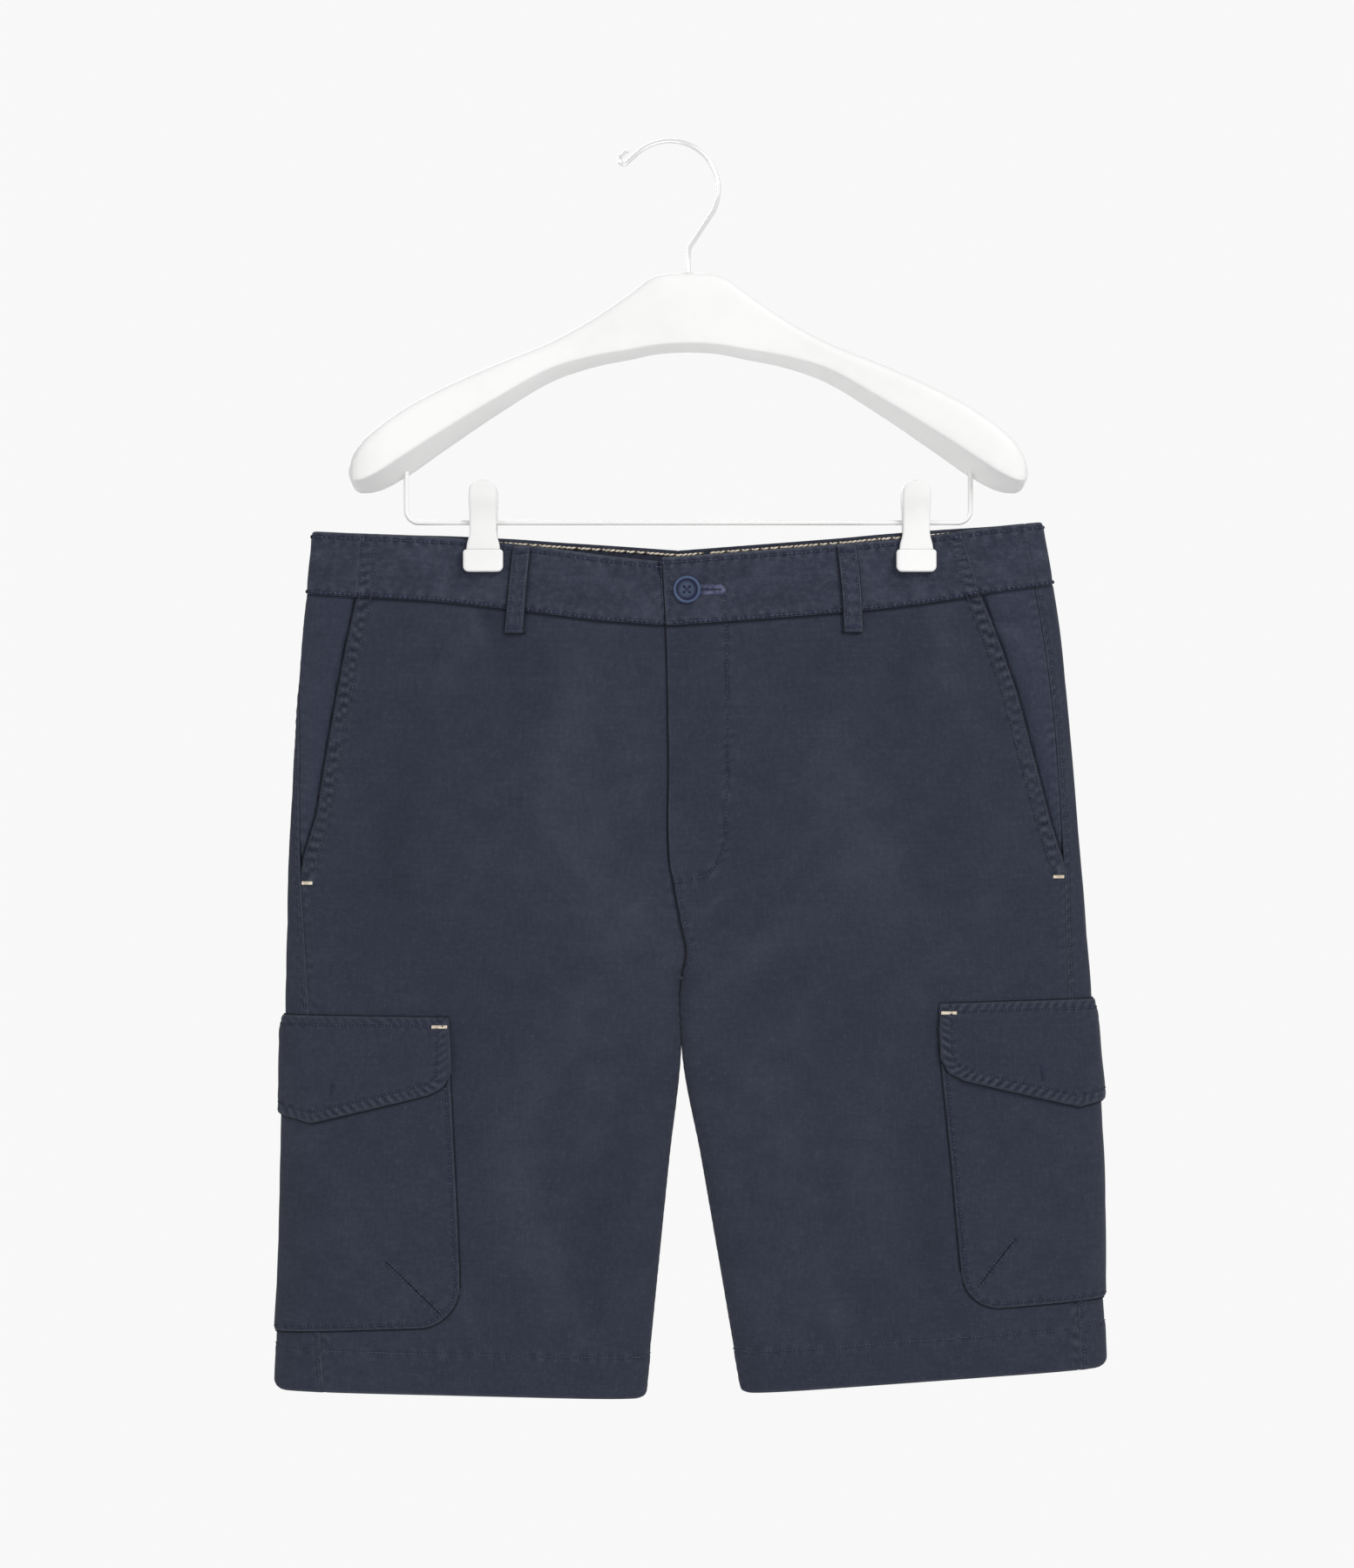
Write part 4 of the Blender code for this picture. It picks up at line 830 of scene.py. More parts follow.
navyCloth = twillCloth("navy twill")
facingCloth = twillCloth("navy twill facing", 1.12)
washedCloth = twillCloth("washed navy twill", 1.04, 0.22)
navyThread = threadFinish("navy thread", (0.036, 0.042, 0.064), (0.096, 0.106, 0.146))
darkThread = threadFinish("dark navy thread", (0.005, 0.007, 0.018), (0.020, 0.026, 0.060))
holeThread = threadFinish("buttonhole thread", (0.05, 0.056, 0.11), (0.17, 0.18, 0.29))
creamThread = threadFinish("cream thread", (0.56, 0.47, 0.36), (0.84, 0.76, 0.62))
# dark patches laid between stitches: painted shade in the stitch holes
stitchShadow = threadFinish("shadowed holes", (0.004, 0.006, 0.018), (0.012, 0.015, 0.040))
softStitchShadow = threadFinish("soft shadowed holes", (0.010, 0.013, 0.028), (0.020, 0.025, 0.046))
# near-black strips laid at the foot of edges: painted contact shadow
contactShadowTone = threadFinish("crease shadow", (0.003, 0.004, 0.009), (0.008, 0.010, 0.020), 0.95)
# dark patches laid under the chain row: painted shade
chainShadow = threadFinish("chain row shadow", (0.030, 0.026, 0.026), (0.10, 0.085, 0.075))

# fronts and backs
seam = {
    "gap": 0.15, "fellWidth": 6.0, "fellRise": 0.45, "openingHem": 9.8, "openingRise": 0.8,
    "flyLift": 1.25, "flyFade": 24.0, "flyOver": 0.9,
}
# the fly's curved row, as (distance from the front edge, height)
flyRow = ((36.6, -304), (36.2, -345), (35.8, -385), (35.0, -425), (34.0, -441), (30.5, -451), (22.0, -460.5),
          (11.0, -464.3), (1.5, -465.8))


def hemRise(side, q, z):
    above = z - hem(side, q)
    return 0.5 * smooth((cloth["hemHeight"] - above) / 1.6) - 0.35 * bump(above, 1.2)


def flyRise(side, q, z):
    # the left front laps over the right one, down to the end of the fly
    over = smooth((z - cloth["flyEnd"] - 2) / 14)
    away = frontEdge(side, z) - q
    if side == left:
        return seam["flyLift"] * over * (1 - smooth(away / seam["flyFade"]))
    return -0.35 * over * bump(away, 9.0)


def fell(distance, width, rise):
    return rise * (1 - smooth((distance - width + 0.9) / 1.4))


def frontPanel(side):
    gap = seam["gap"]

    def start(z):
        return opening(side, z) + gap

    def end(z):
        over = smooth((z - cloth["flyEnd"] - 1) / 6)
        reach = seam["flyOver"] + 0.05 if side == left else -0.5
        return frontEdge(side, z) - 0.05 + reach * over

    def proud(q, z):
        above = smooth((z - openingEnd[side]) / 5)
        hemmed = fell(q - opening(side, z), seam["openingHem"], seam["openingRise"]) * above
        return hemRise(side, q, z) + flyRise(side, q, z) + hemmed

    piece = Cloth("frontPanel_" + side, side, start, end, lambda q: waistSeam(side, q) - gap,
                  lambda q: hem(side, q), proud, cloth["panelWall"])
    piece.edgeRoll = {"start": (0.45, 0.7), "end": (0.2, 0.6), "top": (0.4, 0.8), "bottom": (0.3, 0.9)}
    piece.shadows = {"top": (0.95, 0.7, 1.2)}
    if side == right:
        piece.shadows["end"] = (0.95, 1.0, 0.8)
    seamTop, seamEnd = -283.0, openingEnd[side]
    piece.addRow("rope", down(lambda z: opening(side, z) + 5.0, seamTop, seamEnd), shown=False)
    for inside in (1.5, 8.9):
        piece.addRow("top", down(lambda z: bandOpening(side, z) + inside, seamTop - 1, seamEnd + 2))
    piece.shadowLine(down(lambda z: opening(side, z) - 0.4, seamTop - 2, seamEnd + 1))
    if side == left:
        piece.shadowLine(down(lambda z: frontEdge(side, z) + seam["flyOver"] + 0.4, -304, cloth["flyEnd"] + 2))
    piece.addRow("seam", down(lambda z: sideSeam(side, z) + 2.0, seamEnd - 6, hemOuter[side]), shown=False)
    piece.addRow("seam", down(lambda z: frontEdge(side, z) - 2.0, cloth["crotch"] - 6, -792), shown=False)
    front = float(frontEdge(side, -770.0))
    hemLine = alongEdge(lambda q: hem(side, q), float(sideSeam(side, -775.0)) + 0.5, front - 0.5, cloth["hemHeight"])
    piece.addRow("hem", hemLine)
    crotchRise = down(lambda z: frontEdge(side, z) - 2.4, -468, cloth["crotch"] - 2, 3.0)
    piece.addRow("top" if side == left else "seam", crotchRise, shown=side == left)
    if side == left:
        fly = [(float(frontEdge(side, z)) - away, z) for away, z in flyRow]
        piece.addRow("fly", curve(fly))
    return piece


def curve(points, step=3.0):
    # a smooth line through a few points
    points = np.asarray(points, float)
    at = np.concatenate([[0], np.cumsum(np.linalg.norm(np.diff(points, axis=0), axis=1))])
    even = np.linspace(0, at[-1], max(4, int(at[-1] / step)))
    return np.stack([curveThrough(even, at, points[:, k]) for k in range(points.shape[1])], axis=1)


def backPanel(side):
    gap = seam["gap"]

    def proud(q, z):
        away = sideSeam(side, z) - q
        centre = q - backEdge(side, z)
        high = smooth((z - cloth["crotch"]) / 8)
        fellCentre = fell(centre, 7.5, 0.4) * high * (side == left)
        return hemRise(side, q, z) + fell(away, seam["fellWidth"], seam["fellRise"]) + fellCentre

    piece = Cloth("backPanel_" + side, side, lambda z: backEdge(side, z) + 0.05,
                  lambda z: sideSeam(side, z) - gap, lambda q: waistSeam(side, q) - gap,
                  lambda q: hem(side, q), proud, cloth["panelWall"])
    piece.edgeRoll = {"start": (0.2, 0.6), "end": (0.35, 0.6), "top": (0.4, 0.8), "bottom": (0.3, 0.9)}
    piece.shadows = {"top": (0.9, 0.3, 1.0)}
    hemAt = float(hem(side, sideSeam(side, cloth["hemLevel"])))
    piece.addRow("top", down(lambda z: sideSeam(side, z) - 2.6, -285, hemAt + 2.0))
    back = float(backEdge(side, -770.0))
    hemLine = alongEdge(lambda q: hem(side, q), back + 0.5, float(sideSeam(side, -775.0)) - 0.5, cloth["hemHeight"])
    piece.addRow("hem", hemLine)
    piece.addRow("seam", down(lambda z: backEdge(side, z) + 2.0, cloth["crotch"] - 6, -792), shown=False)
    if side == left:
        for inside in (2.0, 6.6):
            piece.addRow("top", down(lambda z: backEdge(side, z) + inside, -297, cloth["crotch"] + 4))
    else:
        piece.addRow("seam", down(lambda z: backEdge(side, z) + 2.0, -297, cloth["crotch"]), shown=False)
    return piece


facingCut = {"sunk": 1.75, "tucked": 20.0, "belowOpening": 14.0, "wall": 1.2, "shadow": 0.97}


def pocketFacing(side):
    def proud(q, z):
        inside = opening(side, z) - q
        return -facingCut["sunk"] * (1 - smooth((inside - 0.5) / 7)) - 0.1

    piece = Cloth("pocketFacing_" + side, side, lambda z: sideSeam(side, z) + 0.4,
                  lambda z: opening(side, z) + facingCut["tucked"], lambda q: waistSeam(side, q) - 0.3,
                  constant(openingEnd[side] - facingCut["belowOpening"]), proud, facingCut["wall"])
    piece.edgeRoll = {"start": (0.3, 0.7)}
    piece.shadows = {"top": (0.9, 0.3, 1.0)}
    piece.addRow("seam", down(lambda z: sideSeam(side, z) + 2.5, -285, openingEnd[side]), shown=False)

    def inTheOpening(q, z):
        # the shadow that the pocket's hem throws on the facing
        lift, pale, dark = plain(q, z)
        edge = opening(side, z) - q
        return lift, pale, np.maximum(dark, facingCut["shadow"] * bump(np.maximum(edge - 0.7, 0), 1.0))

    plain, piece.surface = piece.surface, inTheOpening
    return piece


panelGrid = {"fine": 1.3, "coarse": 2.7, "loose": 3.1}


def panelShares(width, length):
    fine, edge = panelGrid["fine"], [(12.0, panelGrid["fine"])]
    across = graded(width, edge, edge, panelGrid["coarse"])
    return across, graded(length, [(8.0, fine)], [(29.0, 1.5)], panelGrid["loose"])


def hemWall(side):
    # the turned-up hem is two layers thick
    return lambda q, z: np.where(z - hem(side, q) < cloth["hemHeight"] + 1, 2.2, cloth["panelWall"])


panelRests = ["clip_right_front_pad", "clip_left_front_pad"]
for side in halves:
    name = "waistband_front_" + side
    build(frontPanel(side), "front_" + side, *panelShares(225, 490), navyCloth, [name], wall=hemWall(side))
    build(backPanel(side), "back_" + side, *panelShares(265, 490), navyCloth, ["waistband_back_" + side],
          wall=hemWall(side))
    facingAcross, facingDown = graded(45, [(3, 1.0)], [(5, 1.5)], 2.2), graded(190, [(3, 1.0)], [(3, 1.5)], 3.0)
    build(pocketFacing(side), "pocket_facing_" + side, facingAcross, facingDown, facingCloth, [name])
print("panels ready")

# waistband and fly
band = {"topRow": 2.9, "bottomRow": 1.4, "endRow": 2.3, "flyFade": 26.0, "flyRow": 36.3}


def bandPiece(name, side, start, end, over=False):
    def proud(q, z):
        lap = 0.0
        if over:
            lap = seam["flyLift"] * (1 - smooth((frontEdge(side, z) - q) / band["flyFade"]))
        return cloth["bandProud"] + lap + 0.25 * np.sin(
            math.pi * np.clip((z - waistSeam(side, q)) / cloth["bandHeight"], 0, 1)) ** 0.5

    piece = Cloth(name, side, start, end, lambda q: waistTop(side, q),
                  lambda q: waistSeam(side, q) + seam["gap"], proud, cloth["bandWall"])
    piece.edgeRoll = {"top": (0.6, 1.2), "bottom": (0.3, 0.7), "start": (0.4, 0.7), "end": (0.4, 0.7)}
    piece.mottle, piece.edgeWear = 0.12, 0.5
    return piece


def bandRows(piece, low, high):
    side = piece.side
    piece.addRow("waist", alongEdge(lambda q: waistTop(side, q), low, high, -band["topRow"]))
    piece.addRow("waist", alongEdge(lambda q: waistSeam(side, q), low, high, band["bottomRow"]))


def frontBand(side):
    over = side == left
    piece = bandPiece("frontBand_" + side, side, lambda z: bandOpening(side, z) + seam["gap"],
                      lambda z: frontEdge(side, z) + (seam["flyOver"] if over else -0.8), over)
    piece.shadowLine(down(lambda z: bandOpening(side, z) - 0.4, -247, -284))
    if over:
        piece.edgeWear = 0.7
        piece.shadowLine(down(lambda z: frontEdge(side, z) + seam["flyOver"] + 0.4, -263, -303))
    else:
        piece.shadows = {"end": (0.98, lambda z: 1.2 + 1.9 * smooth((z + 279) / 12), 0.8)}
    low, high = float(bandOpening(side, -270.0)) + 1, float(frontEdge(side, -280.0)) - 1
    bandRows(piece, low, high)
    for inside in (1.6, 9.2):
        piece.addRow("top", down(lambda z: bandOpening(side, z) + inside, -249 if side == right else -247, -283))
    piece.addRow("ladder", down(lambda z: bandOpening(side, z) + 4.6, -246, -286), shown=False)
    piece.addRow("top", down(lambda z: frontEdge(side, z) - band["endRow"], -266, -300))
    if over:
        piece.addRow("top", down(lambda z: frontEdge(side, z) - band["flyRow"], -266, -300))
    return piece


def sideBand(side):
    piece = bandPiece("sideBand_" + side, side, lambda z: sideSeam(side, z) + seam["gap"],
                      lambda z: bandOpening(side, z) - seam["gap"])
    bandRows(piece, float(sideSeam(side, -260.0)) + 1, float(bandOpening(side, -270.0)) - 1)
    return piece


def backBand(side):
    piece = bandPiece("backBand_" + side, side, lambda z: backEdge(side, z) + seam["gap"],
                      lambda z: sideSeam(side, z) - seam["gap"])
    # the rows pass the fold flat, so none of the thread stands off it
    bandRows(piece, float(backEdge(side, -260.0)) + 0.5, -2.0)
    bandRows(piece, 2.0, float(sideSeam(side, -260.0)) - 1)
    return piece


bandDown = graded(38.5, [(5, 1.0)], [(5, 1.0)], 1.7)
for side in halves:
    build(frontBand(side), "waistband_front_" + side, graded(200, [(11, 1.1)], [(5, 1.1)], 1.9), bandDown,
          washedCloth, panelRests, turned=True)
    width = float(bandOpening(side, -262.0) - sideSeam(side, -262.0))
    build(sideBand(side), "waistband_side_" + side, graded(width, [(3, 1.0)], [(3, 1.0)], 1.9), bandDown,
          washedCloth, ["waistband_front_" + side], turned=True)

backBands = {side: backBand(side) for side in halves}
for side in halves:
    build(backBands[side], "waistband_back_" + side, graded(240, [(4, 1.1)], [(5, 1.1)], 2.1), bandDown,
          washedCloth, [f"clip_{side}_back_pad"], turned=True)

# the chain row on the inside of the back band, as distances from the centre seam
for side, spans in ((right, ((126.0, 0.4),)), (left, ((0.4, 13.0), (21.5, 178.0)))):
    for first, last in spans:
        edge = float(backEdge(side, -255.0))
        path = alongEdge(lambda q: waistTop(side, q), edge + first, edge + last, -2.3)
        backBands[side].sew("chain", path, thread="chain", off=0.0, inside=True)


underlap = {"width": {right: 8.0, left: 32.0}, "top": -265.0, "aboveEnd": 3, "sunk": -2.35, "wall": 1.4}


def flyShield(side, width):
    return Cloth("flyShield_" + side, side, lambda z: frontEdge(side, z) - width, lambda z: frontEdge(side, z),
                 constant(underlap["top"]), constant(cloth["flyEnd"] + underlap["aboveEnd"]),
                 constant(underlap["sunk"]), underlap["wall"])


parts = []
for side, width in underlap["width"].items():
    shield = flyShield(side, width)
    q, z = shield.grid(np.linspace(0, 1, int(width / 2) + 1), np.linspace(0, 1, 80))
    parts.append((shield, q if side == right else q[:, ::-1], z if side == right else z[:, ::-1]))
joined("flyShield", "fly_underlap", parts, navyCloth)
print("waistband and fly ready")

# cargo pockets and their flaps
cargo = {
    "edgeTop": {right: (86.0, -88.0), left: (83.0, -96.0)},
    "edgeBottom": {right: (88.0, -89.0), left: (71.0, -104.0)},
    "bottom": {right: -748.5, left: -727.0}, "bottomSlope": {right: 0.03, left: -0.085},
    "corner": 24.0, "bulge": 2.6, "foldBulge": {right: 0.0, left: 1.0}, "foldReach": 22.0, "laid": 0.7,
    "belowFlapTop": 14.0,
    "flapTop": {right: -550.0, left: -539.6}, "flapSlope": {right: -0.012, left: -0.03},
    "flapCentre": {right: -4.5, left: -8.0}, "flapHalf": {right: 92.0, left: 89.0}, "flapSide": 34.0,
    "flapShoulder": 46.5, "flapPoint": 66.5, "flapLean": {right: 6.0, left: 4.0}, "flapChamfer": 15.0,
    "flapRow": 6.6, "flapTopRow": 5.2, "pocketRow": 2.6,
    "dart": {right: ((-181.5, -703.5), (-147.0, -737.5)), left: ((212.3, -690.8), (189.5, -720.5))},
    "flapMark": {right: (-214.5, -591.5, -600.0), left: (230.0, -581.5, -590.0)},
    "flapTack": {right: (-148.0, -556.8), left: (171.7, -548.0)},
}


def pocketEdges(side, z):
    share = (cargo["flapTop"][side] - z) / (cargo["flapTop"][side] - cargo["bottom"][side])
    line = sideSeam(side, z)
    pairs = zip(cargo["edgeTop"][side], cargo["edgeBottom"][side])
    return [line + t + (b - t) * share for t, b in pairs]


def flapTop(side, q):
    return cargo["flapTop"][side] + cargo["flapSlope"][side] * q


def pocketBottom(side, q):
    corner = cargo["corner"]
    low = cargo["bottom"][side] + cargo["bottomSlope"][side] * q
    front, back = pocketEdges(side, low + corner)
    into = np.clip(corner - np.minimum(front - q, q - back), 0, corner)
    return low + corner - np.sqrt(corner**2 - into**2)


def pocketProud(side, q, z):
    front, back = pocketEdges(side, z)
    low = cargo["bottom"][side] + cargo["bottomSlope"][side] * q
    high = cargo["flapTop"][side] - cargo["belowFlapTop"]
    across = np.sin(math.pi * np.clip((q - back) / (front - back), 0, 1)) ** 0.6
    along = np.sin(math.pi * np.clip((z - low) / (high - low), 0, 1)) ** 0.6
    held = (1 - cargo["foldBulge"][side]) * bump(q, cargo["foldReach"])
    return cargo["laid"] + cloth["pocketWall"] + cargo["bulge"] * (1 - held) * across * along


def flapDrop(side, away):
    half, cut = cargo["flapHalf"][side], cargo["flapChamfer"]
    stops = (0, half - cut, half - cut / 3, half)
    away = away - cargo["flapLean"][side] * (1 - np.abs(away) / half)
    return np.interp(np.abs(away), stops, (cargo["flapPoint"], cargo["flapShoulder"] + 1.5,
                                           cargo["flapShoulder"] - 3.5, cargo["flapSide"]))


def cargoPocket(side):
    piece = Cloth("cargoPocket_" + side, side, lambda z: pocketEdges(side, z)[1],
                  lambda z: pocketEdges(side, z)[0], lambda q: flapTop(side, q) - cargo["belowFlapTop"],
                  lambda q: pocketBottom(side, q), lambda q, z: pocketProud(side, q, z), cloth["pocketWall"])
    piece.edgeRoll = {"start": (0.7, 1.0), "end": (0.7, 1.0), "bottom": (0.7, 1.0)}
    top, low = cargo["flapTop"][side] - 20, cargo["bottom"][side] + 26
    heights = np.arange(top, low, -4.0)
    backLine = np.stack([pocketEdges(side, heights)[1], heights], axis=1)
    frontLine = np.stack([pocketEdges(side, heights)[0], heights], axis=1)[::-1]
    across = np.linspace(backLine[-1, 0] + 0.3, frontLine[0, 0] - 0.3, 90)
    across = np.stack([across, pocketBottom(side, across)], axis=1)
    outline = np.concatenate([backLine, across, frontLine])
    piece.addRow("clear", insetPath(outline, cargo["pocketRow"]))
    (x0, z0), (x1, z1) = cargo["dart"][side]
    dart = ((atX(side, x0, z0), z0), (atX(side, x1, z1), z1))
    piece.addRow("dart", dart)
    ends = np.array(dart)
    run = ends[1] - ends[0]
    across = np.array([run[1], -run[0]]) / np.linalg.norm(run)
    for away in (-0.9, 0.9):
        piece.shownRows.append(("top", ends + across * away))
    piece.tack = dart[0]
    piece.shadowLine(insetPath(outline, -0.5))
    return piece


def cargoFlap(side):
    half = cargo["flapHalf"][side]

    def middle(z):
        return sideSeam(side, z) + cargo["flapCentre"][side]

    def bottom(q):
        return flapTop(side, q) - flapDrop(side, q - middle(flapTop(side, q) - cargo["flapSide"]))

    def proud(q, z):
        drop = flapTop(side, q) - z
        under = smooth(drop / (cargo["belowFlapTop"] - 2)) * pocketProud(side, q, z)
        near = 1 if side == left else 1 - bump(q, 20.0)
        return cargo["laid"] + cloth["flapWall"] + under + 0.9 * near * smooth((drop - 32) / 26)

    piece = Cloth("cargoFlap_" + side, side, lambda z: middle(z) - half, lambda z: middle(z) + half,
                  lambda q: flapTop(side, q), bottom, proud, cloth["flapWall"])
    piece.edgeRoll = {name: (0.7, 1.1) for name in ("start", "end", "top", "bottom")}
    sideTop = float(flapTop(side, 0.0))
    low, high = (float(middle(sideTop)) + sign * half for sign in (-1, 1))
    q = np.linspace(low + 0.2, high - 0.2, 120)
    lower = np.stack([q, bottom(q)], axis=1)
    corners = [[[at, float(flapTop(side, at)) - 1]] for at in (low, high)]
    outline = np.concatenate([corners[0], lower, corners[1]])
    piece.shadowLine(insetPath(outline, -0.5))
    piece.shadowLine(alongEdge(lambda a: flapTop(side, a), low + 1, high - 1, 0.5))
    piece.addRow("flap", insetPath(outline, 3.2), shown=False)
    piece.addRow("clear", insetPath(outline, cargo["flapRow"]))
    piece.addRow("pucker", alongEdge(lambda a: flapTop(side, a), low + 3, high - 3, -2.4), shown=False)
    piece.addRow("clear", alongEdge(lambda a: flapTop(side, a), low + 3, high - 3, -cargo["flapTopRow"]))
    return piece


pockets, flaps = {}, {}
for side in halves:
    pockets[side], flaps[side] = cargoPocket(side), cargoFlap(side)
    across = graded(176, [(6, 1.2)], [(6, 1.2)], 1.9)
    build(pockets[side], "cargo_pocket_" + side, across, graded(190, [(3, 1.5)], [(27, 1.3)], 2.2), navyCloth,
          ["front_" + side, "back_" + side])
    build(flaps[side], "cargo_flap_" + side, graded(182, [(19, 1.2)], [(19, 1.2)], 1.8),
          graded(60, [(8, 1.0)], [(9, 1.0)], 1.6), navyCloth, ["cargo_pocket_" + side])
print("cargo pockets ready")

# belt loops
loops = {"width": 10.8, "length": 54.0, "edgeRow": 1.7, "tackUp": 2.9, "arch": 1.2}
beltLoops = (
    ("front_right", right, 0.598, 0.1), ("front_left", left, 0.5285, -3.6), ("back_right", right, -0.6, 0.0),
    ("back_left", left, -0.56, 0.0), ("back_centre", left, -1.0, 0.0),
)


def beltLoop(name, side, share, lean):
    front, back = form[side].ends(-270.0)
    centre = float(share * front if share > 0 else -share * back)
    top = float(waistTop(side, np.array(centre))) - 1.0

    def middle(z):
        return centre - lean * (top - z) / loops["length"]

    def proud(q, z):
        share = np.clip((top - z) / loops["length"], 0, 1)
        folded = 0.5 * (smooth((0.1 - share) / 0.05) + smooth((share - 0.9) / 0.05))
        crown = 0.35 * (1 - ((q - middle(z)) / (loops["width"] / 2)) ** 2)
        return 0.5 + 0.7 + cloth["loopWall"] + loops["arch"] * np.sin(math.pi * share) ** 0.7 + folded + crown

    half = loops["width"] / 2
    piece = Cloth("beltLoop_" + name, side, lambda z: middle(z) - half, lambda z: middle(z) + half,
                  constant(top), constant(top - loops["length"]), proud, cloth["loopWall"])
    piece.edgeRoll = {name: (0.45, 0.9) for name in ("start", "end", "top", "bottom")}
    piece.edgeWear = 0.7
    for sign in (-1, 1):
        piece.addRow("top", down(lambda z: middle(z) + sign * (half - loops["edgeRow"]), top - 5, top - 49, 4.0))
    for height in (top - 3.4, top - loops["length"] + loops["tackUp"]):
        piece.addRow("top", [(float(middle(height)) + s * (half - 1.2), height) for s in (-1, 0, 1)])
        piece.tacks = getattr(piece, "tacks", []) + [[(float(middle(height)) + s * 4.2, height) for s in (-1, 1)]]
    for sign in (-1, 1):
        piece.shadowLine(down(lambda z: middle(z) + sign * (half + 0.4), top - 2, top - 53.5, 4.0))
    foot = top - loops["length"] - 0.4
    piece.shadowLine([(float(middle(foot)) - half, foot), (float(middle(foot)) + half, foot)])
    return piece


for name, side, share, lean in beltLoops:
    rests = ["waistband_back_" + side] if name.startswith("back") else ["waistband_front_" + side]
    loop = beltLoop(name, side, share, lean)
    build(loop, "belt_loop_" + name, graded(10.8, [(3, 0.75)], [(3, 0.75)], 0.9),
          graded(54, [(6, 0.9)], [(6, 0.9)], 1.5), washedCloth, rests)
    for tack in loop.tacks:
        loop.sew("tack", tack, thread="navyTack")
print("belt loops ready")

# bar tacks, marks and the buttonhole
tacks = {"length": 9.3, "openingLength": 6.6}


def creamTack(piece, q, z, length):
    piece.sew("tack", [(q - length / 2, z), (q + length / 2, z)], thread="creamTack", off=0.4)


for side in halves:
    x, z = cargo["flapTack"][side]
    creamTack(flaps[side], atX(side, x, z), z, tacks["length"])
    x, high, low = cargo["flapMark"][side]
    q = atX(side, x, high)
    flaps[side].sew("tack", [(q, high), (q, low)], thread="navyTack")
    creamTack(flaps[side], float(pocketEdges(side, z)[1]) + 12 + tacks["length"] / 2, z, tacks["length"])
    q, z = float(opening(side, openingEnd[side] + 1)) + 4.0, openingEnd[side] - 0.6
    creamTack(clothPieces["frontPanel_" + side], q, z, tacks["openingLength"])
    q, z = pockets[side].tack
    pockets[side].sew("tack", [(q - 1.8, z + 0.5), (q + 1.8, z - 0.5)], thread="navyTack")
slot = {"first": 13.0, "last": 36.4, "half": 1.9, "height": -282.0}
flyEdge = float(frontEdge(left, slot["height"]))
hole = []
for turn in np.linspace(0, 2 * math.pi, 60):
    reach = (slot["last"] - slot["first"]) / 2 - slot["half"]
    centre = (slot["last"] + slot["first"]) / 2 + math.copysign(reach, math.cos(turn))
    hole.append((flyEdge - centre - slot["half"] * math.cos(turn), slot["height"] + slot["half"] * math.sin(turn)))
clothPieces["frontBand_left"].sew("hole", hole, thread="hole")


